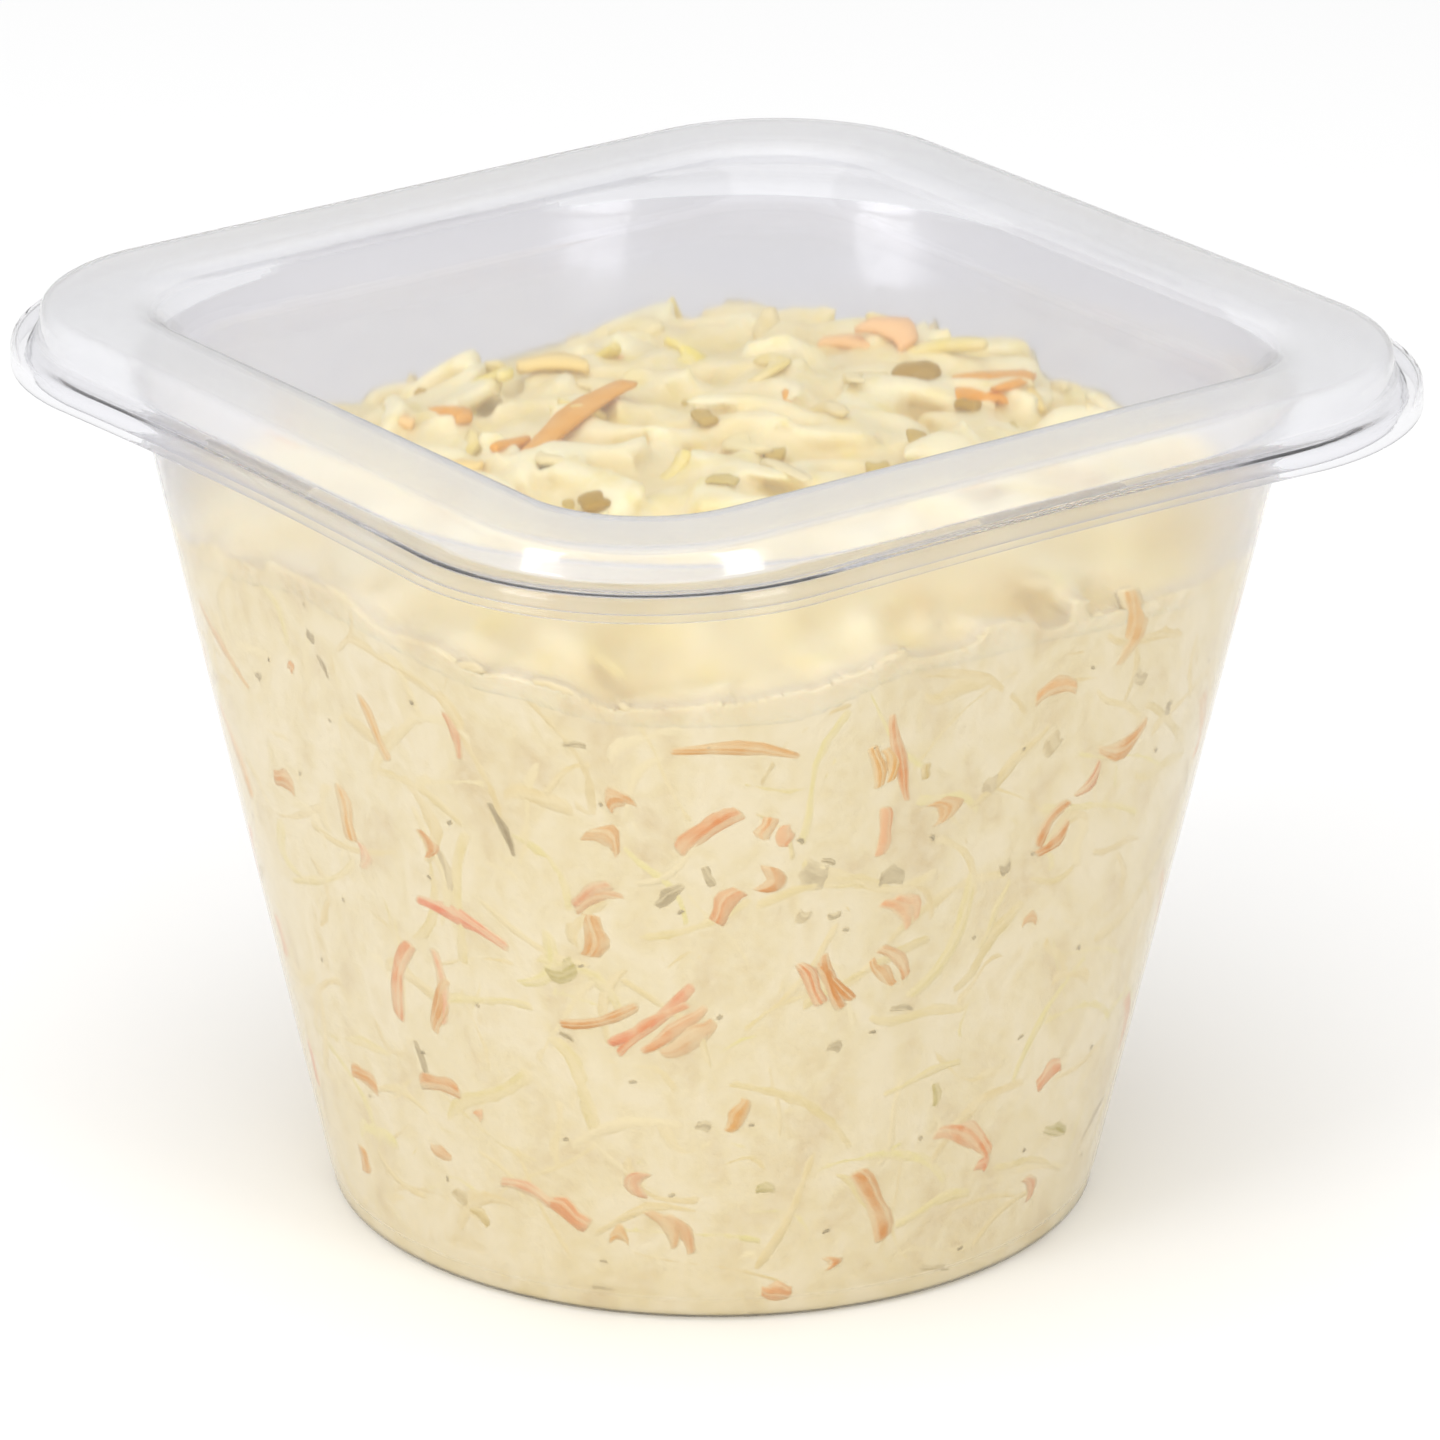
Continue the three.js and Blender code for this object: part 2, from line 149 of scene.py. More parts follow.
# The path moved sideways by a sheet's thickness, to the left of its run outwards.
def moved(path, distance):
    step = np.diff(path[:, [0, 2]], axis=0)
    step /= np.linalg.norm(step, axis=1)[:, None]
    left = np.stack([-step[:, 1], step[:, 0]], 1)
    before, after = np.vstack([left[:1], left]), np.vstack([left, left[-1:]])
    aim = before + after
    aim /= np.linalg.norm(aim, axis=1)[:, None]
    aim *= (distance / np.sum(aim * before, axis=1))[:, None]
    result = path.copy()
    result[:, 0] += aim[:, 0]
    result[:, 1] = np.maximum(result[:, 1] + aim[:, 0], 0.2)
    result[:, 2] += aim[:, 1]
    return result


# A mesh through rings of equal count, closed with a pole at either end, faces outwards.
def ringMesh(name, rings, firstPole, lastPole=None):
    around = rings[0].shape[0]
    points = np.concatenate(rings)
    faces = []
    for ring in range(len(rings) - 1):
        low = ring * around
        for i in range(around):
            j = (i + 1) % around
            faces.append((low + i, low + j, low + around + j, low + around + i))
    points = np.vstack([points, firstPole])
    faces += [(len(points) - 1, (i + 1) % around, i) for i in range(around)]
    if lastPole is not None:
        points = np.vstack([points, lastPole])
        low = (len(rings) - 1) * around
        faces += [(len(points) - 1, low + i, low + (i + 1) % around) for i in range(around)]
    volume = 0.0
    for face in faces:
        a, b, c = points[face[0]], points[face[1]], points[face[2]]
        volume += a.dot(np.cross(b, c))
        if len(face) == 4:
            volume += a.dot(np.cross(c, points[face[3]]))
    if volume < 0:
        faces = [face[::-1] for face in faces]
    mesh = bpy.data.meshes.new(name)
    mesh.from_pydata((points * mm).tolist(), [], faces)
    mesh.polygons.foreach_set("use_smooth", [True] * len(mesh.polygons))
    mesh.update()
    return linked(name, mesh)


# A formed sheet: the path, the same path one thickness aside, and a round edge between them.
def sheetShell(name, path, thickness, side):
    other = moved(path, side * thickness)
    middle, gap = (path[-1] + other[-1]) / 2, other[-1] - path[-1]
    run = path[-1] - path[-2]
    run /= math.hypot(run[0], run[2])
    edge = []
    for angle in (30, 60, 90, 120, 150):
        turn = math.radians(angle)
        edge.append(middle - gap / 2 * math.cos(turn) + run * (thickness / 2 * math.sin(turn)))
    edge = np.array(edge)
    edge[:, 3] = path[-1, 3]
    rows = np.vstack([path, edge, other[::-1]])
    rings = [ringPoints(*row[:3], bow=row[3]) for row in rows]
    return ringMesh(name, rings, (0, 0, path[0, 2]), (0, 0, other[0, 2]))


cup = dict(
    sheet=0.6,
    baseRadius=40.8,
    mouthHalf=54.0,
    mouthCorner=39.0,
    wallFoot=2.8,
    flangeTop=90.15,
    footStep=0.5,
    footHeight=2.2,
    footRound=1.4,
    footRing=6.0,
    pushUp=0.9,
    flangeHalf=58.4,
    flangeCorner=26.6,
    flangeBow=-0.9,
    curl=1.6,
    flangeRound=1.2,
    insideTop=90.0,  # the food's wall ends here
    clearFrom=56.5,  # the flange is as clear as the lid from this far out
)
lid = dict(
    sheet=0.6,
    top=94.5,
    panelHalf=42.2,
    panelCorner=12.2,
    panelDrop=5.3,
    recessHalf=45.5,
    recessCorner=13.5,
    rimTopHalf=55.5,
    rimTopCorner=20.8,
    rimFootHalf=56.5,
    rimFootCorner=23.6,
    flange=91.1,
    skirtHalf=59.7,
    skirtCorner=27.6,
    skirtBow=-0.9,
    skirtFoot=87.95,
    rimInwards=0.4,  # the hazy rim reaches this far in from the recess's edge,
    rimOutwards=0.3,  # this far out from the rim's foot
    rimDown=0.2,  # and this far under the flange
    recessBand=3.4,  # width of the recess's slope
)


# Half width and corner radius of the wall's outside at a height.
def wallAt(z):
    share = (z - cup["wallFoot"]) / (cup["flangeTop"] - cup["wallFoot"])
    half = cup["baseRadius"] + (cup["mouthHalf"] - cup["baseRadius"]) * share
    return half, cup["baseRadius"] + (cup["mouthCorner"] - cup["baseRadius"]) * share


def cupPath():
    band = cup["baseRadius"] - cup["footStep"]
    ringInner = band - cup["footRound"] - cup["footRing"]
    under = cup["flangeTop"] - cup["sheet"]
    half, corner = wallAt(under)
    edge = cup["flangeHalf"] - cup["sheet"]
    wall = []
    for z in np.linspace(cup["wallFoot"], under, 12)[1:-1]:
        wall.append((*wallAt(z), z, 0, 0.01))
    return soften(
        [
            (2, 2, cup["pushUp"], 0, 0),
            (ringInner - 1.0, ringInner - 1.0, cup["pushUp"], 0, 0.5),
            (ringInner, ringInner, 0, 0, 0.5),
            (band, band, 0, 0, cup["footRound"]),
            (band, band, cup["footHeight"], 0, 0.25),
            (*wallAt(cup["wallFoot"]), cup["wallFoot"], 0, 0.25),
            *wall,
            (half, corner, under, 0, cup["flangeRound"]),
            (edge, cup["flangeCorner"], under, cup["flangeBow"], 0.5),
            (edge, cup["flangeCorner"], cup["flangeTop"] - cup["curl"], cup["flangeBow"], 0),
        ]
    )


def lidPath():
    panel = lid["top"] - lid["panelDrop"]
    recess = (lid["recessHalf"], lid["recessCorner"])
    rim = (lid["rimTopHalf"], lid["rimTopCorner"])
    return soften(
        [
            (2, 0.6, panel, 0, 0),
            (lid["panelHalf"] - 3, lid["panelCorner"] - 1, panel, 0, 0.5),
            (lid["panelHalf"], lid["panelCorner"], panel, 0, 1.2),
            (*recess, lid["top"], 0, 2.6),
            (*rim, lid["top"], 0, 1.5),
            (lid["rimFootHalf"], lid["rimFootCorner"], lid["flange"], 0, 0.5),
            (lid["skirtHalf"], lid["skirtCorner"], lid["flange"], lid["skirtBow"], 1.5),
            (lid["skirtHalf"], lid["skirtCorner"], lid["skirtFoot"] + 0.3, lid["skirtBow"], 0),
        ]
    )


cupShell = sheetShell("cupShell", cupPath(), cup["sheet"], 1)
lidShell = sheetShell("lidShell", lidPath(), lid["sheet"], -1)
print("shells", len(cupShell.data.polygons), len(lidShell.data.polygons))

# The inside of the cup, which the food lies against; it is removed again below.
insideRings = [ringPoints(*row[:3]) for row in moved(cupPath(), cup["sheet"]) if row[2] < cup["insideTop"]]
cupInside = ringMesh("cupInside", insideRings, (0, 0, cup["pushUp"] + cup["sheet"]))
normals = np.zeros(len(cupInside.data.vertices) * 3, np.float32)
cupInside.data.vertex_normals.foreach_get("vector", normals)
places = np.zeros_like(normals)
cupInside.data.vertices.foreach_get("co", places)
normals, places = normals.reshape(-1, 3), places.reshape(-1, 3)
cupMiddle = Vector((0, 0, 0.045))
outward = np.sum(normals * (places - np.array(cupMiddle)), axis=1) > 0
normals[outward] *= -1
store(cupInside.data, "inward", normals)
cupInside.hide_render = True
wallTree = BVHTree.FromPolygons(
    [tuple(p) for p in places], [tuple(face.vertices) for face in cupInside.data.polygons]
)

heap = dict(
    skinDepth=3.2,
    curd=1.9,  # lumps of the dressing, broad
    fineCurd=0.15,
    voxel=0.58,
    relax=9,
    # level at the wall every 15 degrees from +X
    edgeLevels=[75.3, 74.9, 74.0, 73.3, 73.2, 73.3, 73.8, 74.6, 75.4, 75.6, 74.6, 72.4]
    + [71.8, 71.2, 70.8, 70.9, 72.0, 75.0, 77.0, 76.4, 74.4, 72.4, 72.4, 75.8],
    edgeMean=74.0,
    moundTop=80.9,
    flatness=2.4,
    lump=0.8,
    ceiling=83.0,  # a piece that would stand higher is pressed down
    intoWall=0.34,  # the dressing reaches this far into the plastic, so no air gap shows
    intoFoot=0.14,  # its lowest level, inside the plastic of the foot ring
    pressedWithin=0.7,  # what lies nearer to the wall than this is pressed against it
    proud=0.04,  # the mound's side stands before the mixed body's by this much,
    sinkFrom=1.5,  # and from this far under the heap's level it sinks behind it,
    sinkOver=1.2,  # over this height,
    sinkBy=0.3,  # by this much
    wallFade=1.5,  # over this distance the mound takes the tone of what lies at the wall
    deepest=0.54,  # no shred reaches further than this into the plastic
    clearance=0.3,  # from the wall to what lies on the mound
    dipSize=5.0,  # size of the patches where shreds at the wall dip under the dressing
    around=300,
    wallRings=96,
    topRings=30,
    underSkin=1.0,  # the mixed body ends this far under the mound's skin
)


def edgeLevel(direction):
    levels = np.array(heap["edgeLevels"])
    place = np.mod(direction / (2 * np.pi) * len(levels), len(levels))
    before = np.floor(place).astype(int) % len(levels)
    t = place - np.floor(place)
    t = t * t * (3 - 2 * t)
    return levels[before] * (1 - t) + levels[(before + 1) % len(levels)] * t


# Level of the heap's bare surface: a flat dome with uneven lumps.
def heapLevel(x, y):
    direction = np.arctan2(y, x)
    half, corner = wallAt(heap["edgeMean"])
    share = np.minimum(1, np.hypot(x, y) / reach(half, corner, direction))
    lumps = np.sin(x / 4.3 + 1.1) * np.sin(y / 3.9) + 0.6 * np.sin((x + y) / 2.6)
    rise = share ** heap["flatness"]
    level = heap["moundTop"] * (1 - rise) + edgeLevel(direction) * rise
    return level + heap["lump"] * lumps * (1 - share**6)


crown = heapLevel(np.array([0.0]), np.array([0.0]))[0]  # level of the heap's middle


# Smooth noise of about -1 to 1 at each point, with features of that size.
def smoothNoise(points, spacing, seed):
    offset = Vector((seed, seed * 1.7, seed * 0.3))
    return np.array([noise.noise(Vector(p) / spacing + offset) for p in points])


# The dressing with everything mixed in it: it fills the cup and domes over the top.
def dressingBody():
    around = np.linspace(0, 2 * np.pi, heap["around"], endpoint=False)
    level = edgeLevel(around) - heap["underSkin"]
    into = heap["intoWall"]
    band = cup["baseRadius"] - cup["footStep"] - cup["sheet"]
    floor = cup["pushUp"] + cup["sheet"]
    rings = []
    slope = band - cup["footRing"] - cup["footRound"] + cup["sheet"]
    foot = heap["intoFoot"]
    for radius, z in (
        (8, floor - into),
        (20, floor - into),
        (slope - 0.8, floor - into),
        (slope + 0.9, foot),
        (band - 1.0, foot),
        (band - 0.1, foot + 0.3),
        (band + 0.4, foot + 1.0),
        (band + 0.42, cup["footHeight"] - 0.1),
    ):
        rings.append(ringPoints(radius, radius, z, around=around))
    first = cup["wallFoot"] + 0.4
    for t in np.linspace(0, 1, heap["wallRings"]):
        z = first + (level - first) * t
        half, corner = wallAt(z)
        ring = ringPoints(half - cup["sheet"], corner - cup["sheet"], z, around=around)
        length = np.hypot(ring[:, 0], ring[:, 1])
        ring[:, :2] *= (1 + into / length)[:, None]
        rings.append(ring)
    half, corner = wallAt(heap["edgeMean"])
    for share in np.linspace(0.985, 0.02, heap["topRings"]):
        ring = ringPoints((half - cup["sheet"]) * share, corner * share, 0, around=around)
        ring[:, 2] = heapLevel(ring[:, 0], ring[:, 1]) - 0.35 - heap["underSkin"] * (1 - share**9)
        rings.append(ring)
    piece = ringMesh("dressing", rings, (0, 0, floor - into), (0, 0, crown - heap["underSkin"]))
    print("dressing", len(piece.data.polygons), "faces")
    return piece


dressing = dressingBody()


# The mound's skin: a closed sheet of dressing, lumpy above, that the top shreds are set in.
def moundSkin():
    around = np.linspace(0, 2 * np.pi, heap["around"], endpoint=False)
    half, corner = wallAt(heap["edgeMean"])
    shares = np.append(np.linspace(0.02, 0.98, 60), 1 + heap["intoWall"] / half)
    rings = []
    for share in list(shares) + list(shares[::-1]):
        under = len(rings) < len(shares)
        ring = ringPoints((half - cup["sheet"]) * share, corner * share, 0, around=around)
        level = heapLevel(ring[:, 0], ring[:, 1])
        broad = heap["curd"] * smoothNoise(ring, spacing=7.0, seed=9.0)
        fine = heap["fineCurd"] * smoothNoise(ring, spacing=1.8, seed=2.0)
        ring[:, 2] = level - heap["skinDepth"] if under else level + broad + fine
        rings.append(ring)
    return ringMesh("moundSkin", rings, (0, 0, crown - heap["skinDepth"]), (0, 0, crown))


# Several closed pieces made one by voxels and relaxed, as dressing fills the gaps between shreds.
def fused(name, pieces):
    with bpy.context.temp_override(active_object=pieces[0], selected_editable_objects=pieces):
        bpy.ops.object.join()
    body = pieces[0]
    voxels = body.modifiers.new("voxels", "REMESH")
    voxels.mode = "VOXEL"
    voxels.voxel_size = heap["voxel"] * mm
    relax = body.modifiers.new("relax", "SMOOTH")
    relax.iterations = heap["relax"]
    piece = baked(name, body)
    mesh = piece.data
    places = np.zeros(len(mesh.vertices) * 3, np.float32)
    mesh.vertices.foreach_get("co", places)
    x, y, z = places.reshape(-1, 3).T / mm
    half, corner = wallAt(z)
    fromAxis = np.hypot(x, y)
    nearWall = reach(half - cup["sheet"], corner - cup["sheet"], np.arctan2(y, x)) - fromAxis
    raised = z - heapLevel(x, y)
    sunk = np.clip((-raised - heap["sinkFrom"]) / heap["sinkOver"], 0, 1)
    into = heap["intoWall"] + heap["proud"] - heap["sinkBy"] * sunk * sunk * (3 - 2 * sunk)
    outwards = np.where(nearWall < heap["pressedWithin"], 1 + (nearWall + into) / fromAxis, 1)
    places = places.reshape(-1, 3) * np.stack([outwards, outwards, np.ones_like(z)], 1)
    mesh.vertices.foreach_set("co", places.ravel().astype(np.float32))
    store(mesh, "raised", raised)
    store(mesh, "atWall", np.clip(1.4 - nearWall / heap["wallFade"], 0, 1))
    mesh.polygons.foreach_set("use_smooth", [True] * len(mesh.polygons))
    mesh.update()
    print(name, len(mesh.polygons), "faces")
    return piece


# One shred a metre long, wide and thick, to be scaled to its size; Z is towards the wall.
# Its points know their lift along Z, their place aside from its middle line and how near its rim they are.
def shredShape(name, seed, steps, sides, bow, wave, taper, squareness=0.6):
    rng = np.random.default_rng(seed)
    bowY, bowZ = rng.uniform(-bow, bow), rng.uniform(-bow, bow) * 0.6
    phase, turns = rng.uniform(0, 6.28), rng.uniform(0.6, 1.5)
    twist = rng.uniform(-0.5, 0.5)
    ends = rng.uniform(taper, 1, 2)
    points, lift, aside, rim, faces = [], [], [], [], []
    for i in range(steps + 1):
        u = math.sin((i / steps * 2 - 1) * math.pi / 2)  # the rings stand closer at the ends
        width = 1 - (1 - (ends[0] if u < 0 else ends[1])) * abs(u) ** 3
        width *= 1 + 0.14 * math.sin(u * 5 + phase)
        if abs(u) > 0.99:
            width *= 0.7
        y0 = bowY * (1 - u * u) + wave * math.sin(u * turns * 3 + phase)
        z0 = bowZ * (1 - u * u) + wave * 0.4 * math.cos(u * turns * 2.3 + phase)
        for k in range(sides):
            angle = 2 * math.pi * k / sides
            c, s = math.cos(angle), math.sin(angle)
            y = 0.5 * width * math.copysign(abs(c) ** squareness, c)
            z = 0.5 * math.copysign(abs(s) ** squareness, s) * min(1, width + 0.2)
            roll = twist * u
            y, z = y * math.cos(roll) - z * math.sin(roll), y * math.sin(roll) + z * math.cos(roll)
            points.append((u / 2, y + y0, z + z0))
            lift.append(z)
            aside.append(c)
            rim.append(max(abs(c), abs(u) ** 5))
    for i in range(steps):
        for k in range(sides):
            j = (k + 1) % sides
            faces.append((i * sides + k, i * sides + j, (i + 1) * sides + j, (i + 1) * sides + k))
    faces.append(tuple(range(sides))[::-1])
    faces.append(tuple(steps * sides + k for k in range(sides)))
    mesh = bpy.data.meshes.new(name)
    mesh.from_pydata(points, [], [face[::-1] for face in faces])
    for key, values in (("lift", lift), ("aside", aside), ("rim", rim)):
        store(mesh, key, values)
    return bpy.data.objects.new(name, mesh)


def shapeSet(name, count, **form):
    shapes = bpy.data.collections.new(name)
    for i in range(count):
        shapes.objects.link(shredShape(f"{name}{i:02d}", 100 + i, **form))
    return shapes


cabbageShapes = shapeSet("cabbageShape", 12, steps=9, sides=8, bow=0.9, wave=0.2, taper=0.6)
carrotShapes = shapeSet("carrotShape", 8, steps=8, sides=8, bow=0.5, wave=0.1, taper=0.55, squareness=0.5)
bitShapes = shapeSet("bitShape", 8, steps=6, sides=8, bow=0.15, wave=0.08, taper=0.5, squareness=0.8)


# Sets a shape on every point; at the wall each one is laid along the plastic.
def scatterTree():
    tree = bpy.data.node_groups.new("scatterShreds", "GeometryNodeTree")
    for kind, names in (
        ("Geometry", "Points"),
        ("Collection", "Shapes"),
        ("Object", "Cup Inside"),
        ("Material", "Material"),
        ("Int", "Shape Count, Seed"),
        ("Bool", "At Wall"),
        ("Float", "Depth, Least Depth, Layers, Dip, Dip Size, Clearance, Ceiling"),
    ):
        for name in names.split(", "):
            tree.interface.new_socket(name, in_out="INPUT", socket_type="NodeSocket" + kind)
    tree.interface.new_socket("Shreds", in_out="OUTPUT", socket_type="NodeSocketGeometry")

    add = partial(addNode, tree)
    calc, vectorCalc, named = "ShaderNodeMath", "ShaderNodeVectorMath", "GeometryNodeInputNamedAttribute"
    given = add("NodeGroupInput").outputs
    size, turn, inward = (add(named, [key], data_type="FLOAT_VECTOR") for key in ("size", "turn", "inward"))
    lift, layer = (add(named, [key], data_type="FLOAT") for key in ("lift", "layer"))

    choices = {"Collection": given["Shapes"], "Separate Children": True, "Reset Children": True}
    last = add(calc, [given["Shape Count"], 1.0], operation="SUBTRACT")
    pick = add("FunctionNodeRandomValue", {4: 0, 5: last, "Seed": given["Seed"]}, data_type="INT")
    placed = add(
        "GeometryNodeInstanceOnPoints",
        {
            "Points": given["Points"],
            "Instance": add("GeometryNodeCollectionInfo", choices),
            "Pick Instance": True,
            "Instance Index": [o for o in pick.outputs if o.type == "INT"][0],
            "Rotation": add("FunctionNodeEulerToRotation", [turn]),
            "Scale": size,
        },
    )
    seed = add(calc, [given["Seed"], 23.0], operation="ADD")
    drawn = add("FunctionNodeRandomValue", {"Seed": seed}, data_type="FLOAT")
    drawnLayer = [o for o in drawn.outputs if o.type == "VALUE"][0]
    values = {"Geometry": placed, "Name": "layer", "Value": drawnLayer}
    layered = add("GeometryNodeStoreNamedAttribute", values, data_type="FLOAT", domain="INSTANCE")
    real = add("GeometryNodeRealizeInstances", [layered])

    place = add("GeometryNodeInputPosition")
    inside = add("GeometryNodeObjectInfo", {"Object": given["Cup Inside"]}).outputs["Geometry"]

    # what the nearest point of the cup's inside says
    def onInside(value):
        values = {"Mesh": inside, "Sample Position": place}
        node = add("GeometryNodeSampleNearestSurface", values, data_type="FLOAT_VECTOR")
        asked = [socket for socket in node.inputs if socket.name == "Value" and socket.type == "VECTOR"]
        tree.links.new(value.outputs[0], asked[0])
        return [o for o in node.outputs if o.type == "VECTOR"][0]

    nearest, inwards = onInside(place), onInside(inward)
    gap = add(vectorCalc, [place, nearest], operation="SUBTRACT")
    away = add(vectorCalc, [gap, inwards], operation="DOT_PRODUCT").outputs["Value"]

    # at the wall: depth below the plastic, by layer, by dips and by the shred's own thickness
    fineness = add(calc, [1.0, given["Dip Size"]], operation="DIVIDE")
    noisy = add("ShaderNodeTexNoise", {"Vector": place, "Scale": fineness, "Detail": 1.0})
    overMean = add(calc, [noisy, 0.45], operation="SUBTRACT")
    dip = add(calc, [overMean, given["Dip"]], operation="MULTIPLY")
    layerDepth = add(calc, [layer, given["Layers"]], operation="MULTIPLY")
    belowCrown = add(calc, [0.5, lift], operation="SUBTRACT")
    thickness = add("ShaderNodeSeparateXYZ", [size]).outputs["Z"]
    belowFace = add(calc, [belowCrown, thickness], operation="MULTIPLY")
    depth = add(calc, [given["Depth"], layerDepth], operation="ADD")
    depth = add(calc, [depth, add(calc, [dip, belowFace], operation="ADD")], operation="ADD")
    depth = add(calc, [depth, given["Least Depth"]], operation="MAXIMUM")
    sunk = add(vectorCalc, {0: inwards, "Scale": depth}, operation="SCALE")
    laid = add(vectorCalc, [nearest, sunk], operation="ADD")

    # on the heap: kept off the wall, and what would stand over the ceiling is pressed down
    missing = add(calc, [given["Clearance"], away], operation="SUBTRACT")
    missing = add(calc, [missing, 0.0], operation="MAXIMUM")
    push = add(vectorCalc, {0: inwards, "Scale": missing}, operation="SCALE")
    x, y, z = add("ShaderNodeSeparateXYZ", [add(vectorCalc, [place, push], operation="ADD")]).outputs
    over = add(calc, [z, given["Ceiling"]], operation="SUBTRACT")
    over = add(calc, [over, 0.0], operation="MAXIMUM")
    press = add(calc, [over, 0.75], operation="MULTIPLY")
    low = add("ShaderNodeCombineXYZ", [x, y, add(calc, [z, press], operation="SUBTRACT")])

    choice = add("GeometryNodeSwitch", [given["At Wall"], low, laid], input_type="VECTOR")
    bent = add("GeometryNodeSetPosition", {"Geometry": real, "Position": choice})
    smooth = add("GeometryNodeSetShadeSmooth", {"Geometry": bent})
    done = add("GeometryNodeSetMaterial", {"Geometry": smooth, "Material": given["Material"]})
    add("NodeGroupOutput", {"Shreds": done})
    return tree


scatter = scatterTree()

Shred = namedtuple("Shred", "place turn size tone")  # tone 0 to 1 picks the colour in its material's stops


# One joined mesh of shreds, scattered as their piece's dictionary says.
def scattered(name, shreds, shapes, material, atWall, settings):
    mesh = bpy.data.meshes.new(name + "Points")
    mesh.from_pydata([tuple(shred.place) for shred in shreds], [], [])
    for key in ("turn", "size"):
        store(mesh, key, [tuple(getattr(shred, key)) for shred in shreds])
    store(mesh, "tone", [shred.tone for shred in shreds])
    points = linked(name + "Points", mesh)
    modifier = points.modifiers.new("scatter", "NODES")
    modifier.node_group = scatter
    values = {
        "Shapes": shapes,
        "Cup Inside": cupInside,
        "Material": material,
        "Shape Count": len(shapes.objects),
        "Seed": settings["pick"],
        "At Wall": atWall,
        "Depth": settings.get("depth", 0) * mm,
        "Least Depth": -heap["deepest"] * mm,
        "Layers": settings.get("layers", 0) * mm,
        "Dip": settings.get("dip", 0) * mm,
        "Dip Size": heap["dipSize"] * mm,
        "Clearance": heap["clearance"] * mm,
        "Ceiling": heap["ceiling"] * mm,
    }
    for socket in scatter.interface.items_tree:
        if socket.in_out == "INPUT" and socket.name in values:
            modifier[socket.identifier] = values[socket.name]
    piece = baked(name, points)
    print(name, len(shreds), "shreds,", len(piece.data.polygons), "faces")
    return piece


def drawSize(rng, ranges):
    return Vector([rng.uniform(*ranges[key]) * mm for key in ("length", "width", "thickness")])


# The nearest point of a surface, and its normal turned away from the middle of the cup.
def nearestOn(surface, point):
    nearest, normal, _, _ = surface.find_nearest(point)
    return nearest, -normal if normal.dot(cupMiddle - nearest) > 0 else normal


# Place and turn of a shred at the nearest point of the wall, leaning from level.
def layAt(point, lean):
    nearest, normal = nearestOn(wallTree, point)
    level = Vector((-normal.y, normal.x, 0)) if abs(normal.z) < 0.9 else Vector((1, 0, 0))
    level.normalize()
    up = normal.cross(level)
    along = level * math.cos(lean) + up * math.sin(lean)
    turned = Matrix((along, normal.cross(along), normal)).transposed()
    return nearest, turned.to_euler()


# The camera is placed first, because the shreds that show best are set by where they stand in its frame.
view = dict(
    camera=(0.7064, -0.5258, 0.3913),  # metres
    focus=(0.0005, 0.0006, 0.0502),
    lens=226.5,
    sensor=36,
    frame=1440,  # its width and height in pixels
)
cameraPlace, focus = Vector(view["camera"]), Vector(view["focus"])
back = (cameraPlace - focus).normalized()
right = Vector((0, 0, 1)).cross(back).normalized()
upward = back.cross(right)
frontDirection = math.atan2(back.y, back.x)


# The point of a surface that stands at x, y in the frame.
def pointAt(x, y, surface):
    half = view["frame"] / 2
    wide = view["sensor"] / view["lens"] / view["frame"]
    ray = right * ((x - half) * wide) + upward * ((half - y) * wide) - back
    return surface.ray_cast(cameraPlace, ray.normalized())[0]


# A row of the stroke lists: a shred or bundle from one point of the frame to another, in pixels,
# its width in millimetres and its tone.
Stroke = namedtuple("Stroke", "fromX fromY toX toY width tone")

# How a bundle's strands differ: radians, shares of its length, shares of a strand's width, and tones.
strands = dict(thickness=1.0, slant=0.09, slide=0.14, shortest=0.7, broadest=1.25, toneSpread=0.05)


# A stroke wider than one strand is a bundle of them, as a shredder tears them.
# On the heap the shreds are lifted a little and turned towards level.
def strokePlaces(strokes, surface, seed, strand=9, lift=0.0, level=0.0, broader=1.0):
    rng = np.random.default_rng(seed)
    placed = []
    for stroke in map(Stroke._make, strokes):
        start = pointAt(stroke.fromX, stroke.fromY, surface)
        end = pointAt(stroke.toX, stroke.toY, surface)
        if start is None or end is None:
            print("stroke misses", stroke)
            continue
        nearest, normal = nearestOn(surface, (start + end) / 2)
        normal = (normal + Vector((0, 0, level))).normalized()
        along = (end - start) - normal * (end - start).dot(normal)
        length = max(along.length, stroke.width * mm)
        along.normalize()
        count = max(1, round(stroke.width / strand))
        for k in range(count):
            slant, slide, share = 0.0, 0.0, 1.0
            if count > 1:
                slant = rng.uniform(-strands["slant"], strands["slant"])
                slide = rng.uniform(-strands["slide"], strands["slide"])
                share = rng.uniform(strands["shortest"], 1.0)
            run = along * math.cos(slant) + normal.cross(along) * math.sin(slant)
            turned = Matrix((run, normal.cross(run), normal)).transposed()
            aside = normal.cross(along) * ((k - (count - 1) / 2) * stroke.width / count * mm)
            width = stroke.width / count * rng.uniform(1.0, strands["broadest"]) * broader
            size = Vector((length * share, width * mm, strands["thickness"] * mm))
            place = nearest + aside + along * (slide * length) + normal * (lift * mm)
            tone = stroke.tone + rng.uniform(-strands["toneSpread"], strands["toneSpread"])
            placed.append(Shred(place, turned.to_euler(), size, tone))
    return placed


goldenAngle = 2.39996  # from one place to the next, so they spread evenly
steepest = 1.5  # a shred's greatest lean from level, in radians


